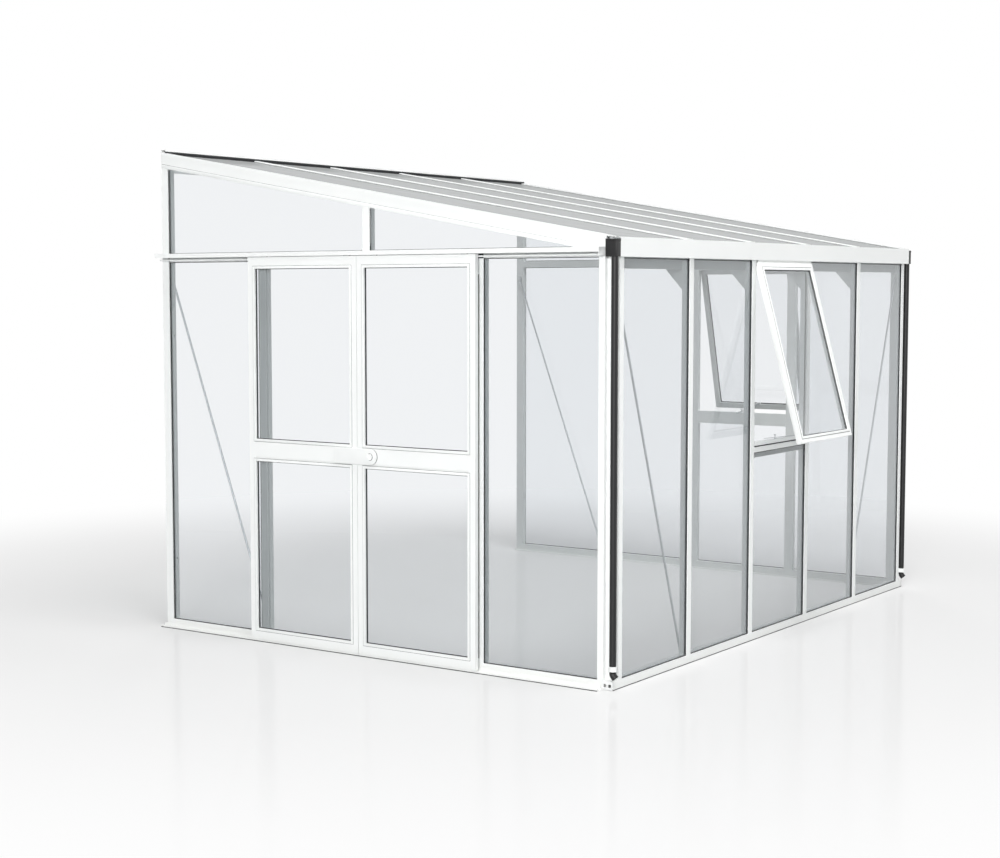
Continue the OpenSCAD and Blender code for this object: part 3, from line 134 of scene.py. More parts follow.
# Gaskets under the caps and the seal under the flashing
# Strips of black EPDM rubber, extruded with a smooth skin and pressed in dry. A greyish bloom clouds them over some
# 40 mm. The grain of the skin is drawn 1.5 mm wide, coarser than the real one, so that it shows.
bloom_patch, skin_grain = 0.04, 0.0015
rubber, tree, out = new_material("black_epdm_rubber")
where = add(tree, "TexCoord").outputs["Object"]
bloom = add(tree, "TexNoise", {"Vector": where, "Scale": 1 / bloom_patch, "Detail": 4.0}).outputs["Fac"]
fresh = add(tree, "MixRGB", {"Fac": bloom, "Color1": linear("232426"), "Color2": linear("37383A")}).outputs[0]
# Painted light: on the roof, out of the flashing's shade, the rubber is painted a lighter grey, as if lit
roof_foot, roof_foot_end, shade_edge, shade_end = 2.19, 2.21, 2.93, 2.9
spot = add(tree, "SeparateXYZ", {"Vector": where})
high = add(tree, "MapRange", {
    "Value": spot.outputs["Z"], "From Min": roof_foot, "From Max": roof_foot_end}).outputs[0]
out_of_shade = add(tree, "MapRange", {
    "Value": spot.outputs["Y"], "From Min": shade_edge, "From Max": shade_end}).outputs[0]
painted_light_share = add(tree, "Math", {0: high, 1: out_of_shade}, operation="MULTIPLY").outputs[0]
tone = add(tree, "MixRGB", {"Fac": painted_light_share, "Color1": fresh, "Color2": linear("8E9090")}).outputs[0]
shine = add(tree, "MapRange", {"Value": bloom, "To Min": 0.62, "To Max": 0.8}).outputs[0]
grain = add(tree, "TexNoise", {"Vector": where, "Scale": 1 / skin_grain, "Detail": 2.0}).outputs["Fac"]
skin = add(tree, "Bump", {"Height": grain, "Strength": 0.25, "Distance": 0.0002}).outputs[0]
strip = add(tree, "BsdfPrincipled", {"Base Color": tone, "Roughness": shine, "Normal": skin, "IOR": 1.5})
tree.links.new(strip.outputs[0], out.inputs["Surface"])
dress(rubber, "glazing_gaskets")

# Panes
# Clear float glass, 4 mm thick, with cut edges. It mirrors more at a glancing angle, greys a little what is behind
# it, and lets only part of the daylight through to what stands inside.
wave_length, dust_patch, mirrored_head_on = 0.25, 0.15, 0.043


def float_glass(name, daylight, dust_share, dust_tone):
    """A glass that passes some daylight, with a film of dust of a given share at a glancing angle."""
    material, tree, out = new_material(name)
    where = add(tree, "TexCoord").outputs["Object"]
    # Rollers leave float glass flat to a hair: waves some 250 mm long, that bend a mirrored line slightly
    waves = add(tree, "TexNoise", {"Vector": where, "Scale": 1 / wave_length, "Detail": 1.0}).outputs["Fac"]
    ripple = add(tree, "Bump", {"Height": waves, "Strength": 0.1, "Distance": 0.002}).outputs[0]
    rays = add(tree, "LightPath")
    seen = add(tree, "Math", {0: rays.outputs["Is Camera Ray"], 1: rays.outputs["Is Glossy Ray"]}, operation="ADD")
    passed = add(tree, "MixRGB", {
        "Fac": seen.outputs[0], "Color1": linear(daylight), "Color2": linear("F8F9FA")}, use_clamp=True)
    through = add(tree, "BsdfTransparent", {"Color": passed.outputs[0]})
    mirror = add(tree, "BsdfGlossy", {"Color": linear("FFFFFF"), "Roughness": 0.0, "Normal": ripple})
    # The mirrored share climbs from head on to grazing with the fifth power of the slant
    slant = add(tree, "LayerWeight", {"Blend": 0.5, "Normal": ripple}).outputs["Facing"]
    steep = add(tree, "Math", {0: slant, 1: 5.0}, operation="POWER").outputs[0]
    share = add(tree, "MapRange", {"Value": steep, "To Min": mirrored_head_on, "To Max": 1.0})
    both = add(tree, "MixShader", {0: share.outputs[0], 1: through.outputs[0], 2: mirror.outputs[0]})
    # Rain leaves a thin film of dust, blotchy over some 150 mm, that shows where the eye looks along the pane
    blotch = add(tree, "TexNoise", {"Vector": where, "Scale": 1 / dust_patch, "Detail": 4.0}).outputs["Fac"]
    along = add(tree, "Math", {0: slant, 1: 3.0}, operation="POWER").outputs[0]
    cover = add(tree, "MapRange", {"Value": along, "To Min": 0.01, "To Max": dust_share}).outputs[0]
    uneven = add(tree, "MapRange", {"Value": blotch, "To Min": 0.8, "To Max": 1.15}).outputs[0]
    dusty = add(tree, "Math", {0: cover, 1: uneven}, operation="MULTIPLY").outputs[0]
    dust = add(tree, "BsdfDiffuse", {"Color": linear(dust_tone)})
    filmed = add(tree, "MixShader", {0: dusty, 1: both.outputs[0], 2: dust.outputs[0]})
    tree.links.new(filmed.outputs[0], out.inputs["Surface"])
    return material


pane_glass = float_glass("clear_float_glass", daylight="C6C9CA", dust_share=0.1, dust_tone="C3C6C5")
dress(pane_glass, "front_glass", "near_gable_glass", "far_gable_glass", "left_leaf_glass", "right_leaf_glass",
      "front_sash_glass", "far_sash_glass")
# The roof panes lie flat, so more dust stays on them
roof_glass = float_glass("roof_float_glass", daylight="F2F4F4", dust_share=0.95, dust_tone="A2A4A4")
dress(roof_glass, "roof_glass")

# Brace rods, door fittings, stays and pegs
# Drawn steel, bright zinc plated. The zinc has a soft mottled shine, about 15 mm from spot to spot. The fine lines
# of the drawing die are drawn 1 mm apart, coarser than the real ones, so that they show.
mottle_size, die_line = 0.015, 0.001
zinc_steel, tree, out = new_material("zinc_plated_steel")
where = add(tree, "TexCoord").outputs["Object"]
mottle = add(tree, "TexNoise", {"Vector": where, "Scale": 1 / mottle_size, "Detail": 5.0}).outputs["Fac"]
tone = add(tree, "MixRGB", {"Fac": mottle, "Color1": linear("A9ACAE"), "Color2": linear("C6C9CB")}).outputs[0]
shine = add(tree, "MapRange", {"Value": mottle, "To Min": 0.3, "To Max": 0.5}).outputs[0]
lines = add(tree, "TexNoise", {"Vector": where, "Scale": 1 / die_line, "Detail": 2.0}).outputs["Fac"]
drawn = add(tree, "Bump", {"Height": lines, "Strength": 0.15, "Distance": 0.0001}).outputs[0]
plate = add(tree, "BsdfPrincipled", {"Base Color": tone, "Metallic": 1.0, "Roughness": shine, "Normal": drawn})
tree.links.new(plate.outputs[0], out.inputs["Surface"])
dress(zinc_steel, "brace_rods", "frame_bolts", "stay_pegs", "left_leaf_fittings", "right_leaf_fittings",
      "front_stay", "far_stay")

# Rain pipes, outlet boxes, shoes and door wheels
# Black PVC: the pipes are extruded, the other pieces moulded, with a fine matt grain from the tool. The grain is
# drawn 1 mm wide, coarser than the real one, so that it shows.
cloud_patch, pvc_grain = 0.05, 0.001
black_pvc, tree, out = new_material("black_pvc")
where = add(tree, "TexCoord").outputs["Object"]
cloud = add(tree, "TexNoise", {"Vector": where, "Scale": 1 / cloud_patch, "Detail": 4.0}).outputs["Fac"]
tone = add(tree, "MixRGB", {"Fac": cloud, "Color1": linear("141415"), "Color2": linear("1B1B1C")}).outputs[0]
shine = add(tree, "MapRange", {"Value": cloud, "To Min": 0.4, "To Max": 0.52}).outputs[0]
grain = add(tree, "TexNoise", {"Vector": where, "Scale": 1 / pvc_grain, "Detail": 2.0}).outputs["Fac"]
tooled = add(tree, "Bump", {"Height": grain, "Strength": 0.2, "Distance": 0.0002}).outputs[0]
moulded = add(tree, "BsdfPrincipled", {"Base Color": tone, "Roughness": shine, "Normal": tooled, "IOR": 1.42})
tree.links.new(moulded.outputs[0], out.inputs["Surface"])
dress(black_pvc, "outlet_boxes", "downpipes", "drain_shoes", "left_wheel_front", "left_wheel_rear",
      "right_wheel_front", "right_wheel_rear")

# Pipe clips, and the plastic of the lock
# White ABS, injection moulded: half glossy, with a faint leather grain from the tool, 1.2 mm from pore to pore. The
# clips are pressed around the foot of each pipe.
flow_patch, leather_grain = 0.06, 0.0012
white_abs, tree, out = new_material("white_abs")
where = add(tree, "TexCoord").outputs["Object"]
flow = add(tree, "TexNoise", {"Vector": where, "Scale": 1 / flow_patch, "Detail": 2.0}).outputs["Fac"]
tone = add(tree, "MixRGB", {"Fac": flow, "Color1": linear("F3F4F3"), "Color2": linear("EDEFEE")}).outputs[0]
shine = add(tree, "MapRange", {"Value": flow, "To Min": 0.26, "To Max": 0.36}).outputs[0]
grain = add(tree, "TexVoronoi", {"Vector": where, "Scale": 1 / leather_grain}).outputs["Distance"]
tooled = add(tree, "Bump", {"Height": grain, "Strength": 0.1, "Distance": 0.0001}).outputs[0]
moulded = add(tree, "BsdfPrincipled", {"Base Color": tone, "Roughness": shine, "Normal": tooled, "IOR": 1.54})
tree.links.new(moulded.outputs[0], out.inputs["Surface"])
dress(white_abs, "lock_case", "lock_knob", "pipe_clips")

# Hood end
# A flat moulded cap of white ABS, pressed into the open front end of the door hood so that rain and fingers
# stay out. It has a shallow sunk field inside a narrow rim.
squarely = 0.9  # a face looks along an axis where its normal's part on that axis is larger than this
smooth_below = math.radians(35)


def start(kind, name, reach=(1, 1, 1), **settings):
    """Adds a primitive at its size and place, alone in the selection, with its place put in its mesh."""
    bpy.ops.object.select_all(action="DESELECT")
    getattr(bpy.ops.mesh, "primitive_" + kind + "_add")(**settings)
    piece = bpy.context.object
    piece.name = name
    piece.scale = reach
    bpy.ops.object.transform_apply(location=True, rotation=True, scale=True)
    return piece


def block(name, low, high):
    """A box between two corners, to be worked on."""
    middle = [(a + b) / 2 for a, b in zip(low, high)]
    return start("cube", name, [b - a for a, b in zip(low, high)], size=1, location=middle)


def pick(piece, test, kind="polygons"):
    """Goes into edit mode with just those faces selected whose middle and normal pass the test, or those edges
    whose two ends do."""
    bpy.ops.object.mode_set(mode="OBJECT")
    mesh = piece.data
    bpy.context.tool_settings.mesh_select_mode = (False, kind == "edges", kind == "polygons")
    for part in (*mesh.vertices, *mesh.edges, *mesh.polygons):
        part.select = False
    for part in getattr(mesh, kind):
        if kind == "edges":
            part.select = bool(test(*[mesh.vertices[i].co for i in part.vertices]))
        else:
            part.select = bool(test(part.center, part.normal))
    bpy.ops.object.mode_set(mode="EDIT")


def push(x, y, z):
    """Extrudes the selected faces by a distance."""
    bpy.ops.mesh.extrude_region_move(TRANSFORM_OT_translate={"value": (x, y, z)})


def sink(piece, test, rim, depth):
    """Sinks a field by a move of the faces that pass the test, inside a rim that stays."""
    pick(piece, test)
    bpy.ops.mesh.inset(thickness=rim, depth=0)
    push(*depth)


def soften(piece, width, steps=3, angle=40):
    """Rounds the edges that turn by more than the angle, and shades the piece smooth."""
    bpy.ops.object.mode_set(mode="OBJECT")
    bpy.ops.object.select_all(action="DESELECT")
    piece.select_set(True)
    bpy.context.view_layer.objects.active = piece
    rounding = piece.modifiers.new("rounding", "BEVEL")
    rounding.width, rounding.segments, rounding.angle_limit = width, steps, math.radians(angle)
    bpy.ops.object.modifier_apply(modifier="rounding")
    bpy.ops.object.shade_smooth_by_angle(angle=smooth_below)


def fit(piece, material, body, slot, *nodes):
    """Gives a finished piece its material, hangs it on a CAD body, and hides the CAD nodes it replaces; the slot is
    not used.
    """
    piece.data.materials.clear()
    piece.data.materials.append(material)
    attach(piece, body)
    if nodes:
        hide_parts(*nodes)


hood_end = block("hood_end_cap", (-1.953, 0.0225, 2.127), (-1.887, 0.0250, 2.170))
sink(hood_end, lambda c, n: n.y < -squarely, rim=0.003, depth=(0, 0.0008, 0))
soften(hood_end, width=0.0006, steps=2)
fit(hood_end, white_abs, "frame", "white_plastic")

# Sill ends
# A white ABS plate closes each open end of the front sill, at the foot of the corner. Two weep holes let out the
# rain that gets into the sill.
weeps, weep_low, weep_high = ((-0.021, -0.007), (0.006, 0.020)), 0.014, 0.029


def twin(piece, name, move):
    """A copy with its own mesh, put in place by a matrix; a mirrored one is turned right side out."""
    other = piece.copy()
    other.data = piece.data.copy()
    other.name = name
    bpy.context.scene.collection.objects.link(other)
    other.data.transform(move)
    if move.determinant() < 0:
        other.data.flip_normals()
    return other


near_end = block("near_sill_end", (-1.8884, -0.0295, 0.0015), (-1.8860, 0.0295, 0.0450))
bpy.ops.object.mode_set(mode="EDIT")
for cut, upright in [(y, True) for weep in weeps for y in weep] + [(weep_low, False), (weep_high, False)]:
    bpy.ops.mesh.select_all(action="SELECT")
    bpy.ops.mesh.bisect(plane_co=(0, cut, cut), plane_no=(0, upright, not upright))
for weep_left, weep_right in weeps:
    pick(near_end, lambda c, n: abs(n.x) > squarely and weep_left < c.y < weep_right and weep_low < c.z < weep_high)
    bpy.ops.mesh.bridge_edge_loops()
soften(near_end, width=0.0006, steps=2)
mirrored_x = Matrix.Scale(-1, 4, (1, 0, 0))
far_end = twin(near_end, "far_sill_end", mirrored_x)
fit(near_end, white_abs, "frame", "white_plastic")
fit(far_end, white_abs, "frame", "white_plastic")

# Track buffers
# Two small blocks of white ABS, screwed to the door track, where each leaf's outer guide stops at full travel. A
# sunk well in the top takes the screw.
buffer_gap = 2.820
rear_buffer = block("rear_track_buffer", (-1.920, 2.912, 0.004), (-1.912, 2.922, 0.014))
sink(rear_buffer, lambda c, n: n.z > squarely, rim=0.0022, depth=(0, 0, -0.0015))
soften(rear_buffer, width=0.001)
front_buffer = twin(rear_buffer, "front_track_buffer", Matrix.Translation((0, -buffer_gap, 0)))
fit(rear_buffer, white_abs, "frame", "white_plastic")
fit(front_buffer, white_abs, "frame", "white_plastic")

# Roof cap ends
# A small plug closes the front end of each roof cap, and keeps its pane from sliding down. It is moulded in white
# ABS and pressed in.
roof_bars = (-1.095, -0.365, 0.365, 1.095)
plug = block("roof_cap_end_1", (-0.0245, -0.0206, 2.2152), (0.0245, -0.0180, 2.2226))
sink(plug, lambda c, n: n.y < -squarely, rim=0.0015, depth=(0, 0.0006, 0))
soften(plug, width=0.0007)
for i, bar_x in enumerate(roof_bars):
    end = twin(plug, f"roof_cap_end_{i + 1}", Matrix.Translation((bar_x, 0, 0)))
    fit(end, white_abs, "frame", "white_plastic")
bpy.data.objects.remove(plug)

# Wiper of the flashing
# A soft edging of black EPDM pressed over the foot of the flashing's front lip. It closes the gap above the roof
# caps all along, and its black face also stands for the shadow in that gap, so it is partly painted shade.
wiper_front, wiper_back, wiper_drop, wiper_rise = 0.002, 0.0045, 0.0022, 0.0065


def round_off(piece, test, radius, steps):
    """Rounds the edges whose two ends pass the test."""
    pick(piece, test, "edges")
    bpy.ops.mesh.bevel(offset=radius, segments=steps, affect="EDGES")


flashing_low, flashing_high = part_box("wall_flashing")
foot_y, foot_z = flashing_low[1], flashing_low[2]
wiper_and_gap_shade = block("flashing_wiper_and_gap_shade", (flashing_low[0], foot_y - wiper_front, foot_z - wiper_drop),
              (flashing_high[0], foot_y + wiper_back, foot_z + wiper_rise))
round_off(wiper_and_gap_shade, lambda a, b: abs(a.x - b.x) > 1 and a.z > foot_z and a.y < foot_y, radius=0.0015, steps=3)
soften(wiper_and_gap_shade, width=0.0004, steps=2, angle=60)
fit(wiper_and_gap_shade, rubber, "frame", "black_rubber")

# Bolts of the braces
# Zinc-plated hex bolts with a flat washer: four in each knee brace's flanges on either side of its web, and one
# through each lug of the thin rods. The head's top is turned to a cone and lightly dished.
washer_radius, washer_thick, head_radius, head_thick, head_sunk = 0.0065, 0.0011, 0.0052, 0.0034, 0.0002
roof_slope, inner_face, side_face, web_to_bolt = math.radians(10), 0.015, 1.841, 0.00975


def weld(name, pieces):
    """Joins pieces into the first one."""
    pieces = list(pieces)
    bpy.ops.object.select_all(action="DESELECT")
    for piece in pieces:
        piece.select_set(True)
    bpy.context.view_layer.objects.active = pieces[0]
    bpy.ops.object.join()
    pieces[0].name = name
    return pieces[0]


washer = start("cylinder", "washer", vertices=32, radius=washer_radius, depth=washer_thick,
               location=(0, 0, washer_thick / 2))
pick(washer, lambda c, n: n.z > squarely)
bpy.ops.mesh.inset(thickness=0.0008, depth=0)
soften(washer, width=0.0003, steps=2, angle=60)
head = start("cylinder", "head", vertices=6, radius=head_radius, depth=head_thick,
             location=(0, 0, washer_thick - head_sunk + head_thick / 2))
pick(head, lambda c, n: n.z > squarely)
bpy.ops.mesh.inset(thickness=0.0006, depth=0)
bpy.ops.transform.translate(value=(0, 0, 0.0004))
bpy.ops.mesh.inset(thickness=0.0012, depth=0)
push(0, 0, -0.0004)
soften(head, width=0.0002, steps=2, angle=50)
bolt = weld("bolt", [washer, head])
inward = Matrix.Rotation(-math.pi / 2, 4, "X")
under_roof = Matrix.Rotation(math.pi + roof_slope, 4, "X")
bolts = []
for bar_x in roof_bars:
    for x in (bar_x - web_to_bolt, bar_x + web_to_bolt):
        bolts += [Matrix.Translation((x, inner_face, z)) @ inward for z in (1.965, 2.046)]
        bolts += [Matrix.Translation((x, y, z)) @ under_roof for y, z in ((0.0745, 2.1825), (0.2335, 2.2106))]
for side in (-1, 1):
    bolts += [Matrix.Translation((side * x, inner_face, z)) @ inward for x, z in ((1.809, 2.046), (1.111, 0.079))]
    across = Matrix.Rotation(-side * math.pi / 2, 4, "Y")
    bolts += [Matrix.Translation((side * side_face, y, z)) @ across for y, z in ((2.951, 2.046), (2.237, 0.079))]
brace_bolts = weld("brace_bolts", [twin(bolt, "bolt", seat) for seat in bolts])
bpy.data.objects.remove(bolt)
fit(brace_bolts, zinc_steel, "frame", "bare_steel", "frame_bolts")

# Outlet boxes
# Moulded boxes of black PVC that close the gutter's two ends and lead the water down. Each is a thin shell with
# round upright corners, open towards the trough, under a lid that stands out a little.
pipe_x, pipe_y, box_wall, box_inside = -1.885, -0.029, 0.0025, 0.0355
outer_corner = -1.89  # the rounded corners lie beyond this line
near_box = block("near_outlet_box", (-1.905, -0.050, 2.122), (-1.865, 0.015, 2.198))
round_off(near_box, lambda a, b: abs(a.z - b.z) > 0.05 and a.x < outer_corner, radius=0.006, steps=6)
sink(near_box, lambda c, n: n.x > squarely, rim=box_wall, depth=(-box_inside, 0, 0))
soften(near_box, width=0.0006, steps=2, angle=60)
cutter = start("cylinder", "cutter", vertices=48, radius=0.0171, depth=0.01, location=(pipe_x, pipe_y, 2.123))
hole = near_box.modifiers.new("hole", "BOOLEAN")
hole.operation, hole.object = "DIFFERENCE", cutter
bpy.ops.object.select_all(action="DESELECT")
near_box.select_set(True)
bpy.context.view_layer.objects.active = near_box
bpy.ops.object.modifier_apply(modifier="hole")
bpy.data.objects.remove(cutter)
lid = block("lid", (-1.9062, -0.0512, 2.196), (-1.8650, 0.015, 2.208))
round_off(lid, lambda a, b: abs(a.z - b.z) > 0.005 and a.x < outer_corner, radius=0.007, steps=6)
sink(lid, lambda c, n: n.z > squarely, rim=0.004, depth=(0, 0, -0.001))
soften(lid, width=0.0015, steps=3, angle=60)
near_box = weld("near_outlet_box", [near_box, lid])
far_box = twin(near_box, "far_outlet_box", mirrored_x)
fit(near_box, black_pvc, "frame", "black_plastic", "outlet_boxes")
fit(far_box, black_pvc, "frame", "black_plastic", "outlet_boxes")

# Drain shoes
# A bend of black PVC below each pipe that throws the water forward, clear of the foot. It is one moulded tube
# with a thick rim at its mouth.
shoe_radius, shoe_top, neck, bend_centre, bend = 0.017, 0.097, 0.006, -0.058, math.radians(45)
near_shoe = start("circle", "near_drain_shoe", vertices=48, radius=shoe_radius, location=(pipe_x, pipe_y, shoe_top))
bpy.ops.object.mode_set(mode="EDIT")
bpy.ops.mesh.select_all(action="SELECT")
push(0, 0, -neck)
bpy.ops.mesh.spin(steps=10, angle=bend, center=(pipe_x, bend_centre, shoe_top - neck), axis=(1, 0, 0))
forth = Vector((0, -math.sin(bend), -math.cos(bend)))
push(*forth * 0.004)
push(0, 0, 0)
bpy.ops.transform.resize(value=(1.075, 1.075, 1.075))
push(*forth * 0.005)
bpy.ops.mesh.select_all(action="SELECT")
bpy.ops.mesh.normals_make_consistent(inside=False)
bpy.ops.object.mode_set(mode="OBJECT")
shell = near_shoe.modifiers.new("shell", "SOLIDIFY")
shell.thickness, shell.offset = 0.002, -1
bpy.ops.object.modifier_apply(modifier="shell")
soften(near_shoe, width=0.0005, steps=2, angle=50)
far_shoe = twin(near_shoe, "far_drain_shoe", mirrored_x)
fit(near_shoe, black_pvc, "frame", "black_plastic", "drain_shoes")
fit(far_shoe, black_pvc, "frame", "black_plastic", "drain_shoes")

# Lock case and knob
# A long case of white ABS, screwed to the right leaf and lapping over the left one, with one round end. The
# finger knob in it turns a latch bolt through its spindle.
knob_y, knob_z, leaf_joint = 1.414, 1.081, 1.5055
across_door = (0, math.pi / 2, 0)
case = block("latch_case", (-1.960, 1.370, 1.037), (-1.9535, 1.658, 1.125))
round_off(case, lambda a, b: abs(a.x - b.x) > 0.005 and a.y < 1.4, radius=0.0439, steps=24)
round_off(case, lambda a, b: abs(a.x - b.x) > 0.005 and a.y > 1.6, radius=0.004, steps=5)
bpy.ops.mesh.select_all(action="SELECT")
bpy.ops.mesh.bisect(plane_co=(0, leaf_joint, 0), plane_no=(0, 1, 0))
pick(case, lambda c, n: n.x > squarely and c.y > leaf_joint)
push(0.0047, 0, 0)
soften(case, width=0.0022, steps=4, angle=45)
fit(case, white_abs, "right_door", "white_plastic", "lock_case")
pad = block("latch_pad", (-1.9535, 1.3715, 1.0385), (-1.948, 1.5050, 1.1235))
round_off(pad, lambda a, b: abs(a.x - b.x) > 0.005 and a.y < 1.4, radius=0.0424, steps=24)
soften(pad, width=0.0006, steps=2, angle=45)
fit(pad, rubber, "right_door", "black_rubber")
disc = start("cylinder", "disc", vertices=64, radius=0.017, depth=0.006, location=(-1.9633, knob_y, knob_z),
             rotation=across_door)
sink(disc, lambda c, n: n.x < -squarely, rim=0.0022, depth=(0.0006, 0, 0))
soften(disc, width=0.0008, steps=3, angle=60)
wing = block("wing", (-1.9803, 1.4105, 1.066), (-1.9640, 1.4175, 1.096))
pick(wing, lambda c, n: n.x < -squarely)
bpy.ops.transform.resize(value=(1, 0.55, 0.86))
soften(wing, width=0.0018, steps=4, angle=30)
spindle = start("cylinder", "spindle", vertices=32, radius=0.004, depth=0.010, location=(-1.957, knob_y, knob_z),
                rotation=across_door)
soften(spindle, width=0.0003, steps=2, angle=60)
knob = weld("finger_knob", [disc, wing, spindle])
fit(knob, white_abs, "turn_knob", "white_plastic", "lock_knob")
# A thin ring of black rubber at the knob's foot is painted shade: it stands for the shadow gap around the knob.
seal = start("cylinder", "finger_knob_shadow_ring", vertices=64, radius=0.0192, depth=0.0010,
             location=(-1.9603, knob_y, knob_z), rotation=across_door)
pick(seal, lambda c, n: abs(n.x) > squarely)
bpy.ops.mesh.inset(thickness=0.0030, depth=0, use_individual=True)
bpy.ops.mesh.bridge_edge_loops()
soften(seal, width=0.0003, steps=2, angle=60)
fit(seal, rubber, "turn_knob", "black_rubber")

# Beads of doors and windows
# An aluminium bead with rounded edges, clipped in around each moving pane and coated white like its frame. A thin
# dark rubber ring around it is painted shade: it stands for the shadow line at the bead's joint.
bead_wide, shadow_line_share, door_shadow_line, window_shadow_line = 0.014, 0.4, 0.0016, 0.0026
leaf_fronts = {"right_door": 0.7925, "left_door": 1.5565}
leaf_pane_wide, leaf_panes = 0.665, ((0.077, 1.017), (1.140, 2.079))
sash_low, sash_top, front_left, front_right, far_front, far_rear = 1.122, 2.065, -0.309, 0.309, 0.817, 1.435


def ring(name, low, high, axis, wide, edge=0.0007):
    """A closed frame of bars between two corners, with its opening along an axis (0 for x, 1 for y)."""
    piece = block(name, low, high)
    pick(piece, lambda c, n: abs(n[axis]) > squarely)
    bpy.ops.mesh.inset(thickness=wide, depth=0, use_individual=True)
    bpy.ops.mesh.bridge_edge_loops()
    soften(piece, edge, steps=2)
    return piece


def bead(low, high, axis, gap):
    """A bead and its painted shadow line, a dark ring around an opening in a plane; the ring is the lower of the two
    and a gap wide.
    """
    along = [0 if i == axis else 1 for i in range(3)]
    grown = [[a - bead_wide * k for a, k in zip(low, along)], [a + bead_wide * k for a, k in zip(high, along)]]
    wider = [[a - gap * k for a, k in zip(grown[0], along)], [a + gap * k for a, k in zip(grown[1], along)]]
    thin = (high[axis] - low[axis]) * shadow_line_share
    if low[axis] < 0:
        wider[0][axis] = high[axis] - thin
    else:
        wider[1][axis] = low[axis] + thin
    return ring("bead", *grown, axis, bead_wide, edge=0.001), ring("shadow_line", *wider, axis, gap, edge=0.0003)


def moved(pieces, name, move):
    """Joins pieces into one, moves it by a matrix and takes the first pieces away."""
    first = weld("first", pieces)
    piece = twin(first, name, move)
    bpy.data.objects.remove(first)
    return piece


shut = Matrix.Identity(4)
# The windows stand open by 15 degrees, so what belongs to a sash is made shut and turned out about its hinge
ajar = math.radians(15)
front_hinge, far_hinge = Vector((0, -0.038, 2.106)), Vector((1.894, 0, 2.106))
front_swing = Matrix.Translation(front_hinge) @ Matrix.Rotation(-ajar, 4, "X") @ Matrix.Translation(-front_hinge)
far_swing = Matrix.Translation(far_hinge) @ Matrix.Rotation(-ajar, 4, "Y") @ Matrix.Translation(-far_hinge)
openings = [(body, 0, door_shadow_line, shut,
             [((-1.950, y, low), (-1.9475, y + leaf_pane_wide, top)) for low, top in leaf_panes])
            for body, y in leaf_fronts.items()]
openings += [("front_window", 1, window_shadow_line, front_swing,
              [((front_left, -0.053, sash_low), (front_right, -0.0505, sash_top))]),
             ("far_window", 0, window_shadow_line, far_swing,
              [((1.9065, far_front, sash_low), (1.909, far_rear, sash_top))])]
for body, axis, gap, move, corners in openings:
    beads, shadow_lines = zip(*[bead(low, high, axis, gap) for low, high in corners])
    fit(moved(beads, body + "_beads", move), powder_coat, body, "white_coated_aluminium")
    # The dark rings around the beads are painted shade, standing for their shadow lines.
    fit(moved(shadow_lines, body + "_bead_shadow_lines", move), rubber, body, "black_rubber")

# Verge strips
# A narrow aluminium strip along the lower edge of each verge, clipped on; it holds the slanted panes of the gable.
# A thin dark rubber strip above it is painted shade, standing for the shadow line of the groove there.
verge_length = 2.77
lower_edge = Matrix.Translation((0, 0.25, 2.1810)) @ Matrix.Rotation(roof_slope, 4, "X")
strip = block("strip", (-1.8876, 0, 0.001), (-1.8855, verge_length, 0.021))
soften(strip, width=0.0008, steps=2)
shadow_line = block("shadow_line", (-1.8867, 0, 0.0205), (-1.8855, verge_length, 0.0226))
soften(shadow_line, width=0.0003, steps=2)
for part, name, material, slot in ((strip, "verge_strip", powder_coat, "white_coated_aluminium"),
                                   (shadow_line, "verge_shadow_line", rubber, "black_rubber")):
    fit(twin(part, "near_" + name, lower_edge), material, "frame", slot)
    fit(twin(part, "far_" + name, mirrored_x @ lower_edge), material, "frame", slot)
    bpy.data.objects.remove(part)

# Edge brushes of the leaves
# A strip of dense pile along the back edge of each leaf, that keeps the draught out at the jamb. Its aluminium
# holder is crimped to the leaf's frame. Its dark face also stands for the shadow line between leaf and jamb, so it
# is partly painted shade.
brush_wide = 0.006
for name, body, brush_y in (("right_leaf_edge_brush_and_shade", "right_door", 0.7480),
                            ("left_leaf_edge_brush_and_shade", "left_door", 2.2600)):
    brush = block(name, (-1.9215, brush_y, 0.075), (-1.9090, brush_y + brush_wide, 2.040))
    sink(brush, lambda c, n: n.x > squarely, rim=0.0015, depth=(0.0004, 0, 0))
    soften(brush, width=0.0006, steps=2)
    fit(brush, rubber, body, "black_rubber")

# Pads of the jambs
# A black rubber pad with a flat raised face, glued on the top end of each door jamb. The hangers of the leaves stop
# against it.
pad_wide = 0.050
for name, pad_y in (("near_jamb_pad", 0.7360), ("rear_jamb_pad", 2.1960)):
    pad = block(name, (-1.8935, pad_y, 2.1215), (-1.8855, pad_y + pad_wide, 2.1440))
    sink(pad, lambda c, n: n.x < -squarely, rim=0.004, depth=(-0.0006, 0, 0))
    soften(pad, width=0.001, steps=2)
    fit(pad, rubber, "frame", "black_rubber")

# Lips of the pane gaskets
# The outer lip of the black EPDM gasket shows as a narrow dark line around each fixed pane, between the pane and
# the edge of its cap or post. The dark line also stands for the shadow at the side of the cap and of the bar seen
# through the glass, so it is partly painted shade.
lip_wide, lip_behind, lip_before = 0.004, 1.8778, 1.8835
pane_wide, pane_low, window_pane_top, gable_pane_top, front_pane_top = 0.682, 0.046, 1.057, 2.122, 2.118
slant_low, slanted_panes, slant_sides = 2.169, ((0.22, 1.467), (1.515, 2.927)), ((1.463, 2.390), (2.923, 2.646))
near_panes = ((0.055, gable_pane_top), (2.245, gable_pane_top))
far_panes = ((0.055, gable_pane_top), (0.785, window_pane_top), (1.515, gable_pane_top), (2.245, gable_pane_top))


def bar(low, high):
    """A straight length of lip between two corners."""
    piece = block("bar", low, high)
    soften(piece, width=0.0007, steps=2)
    return piece


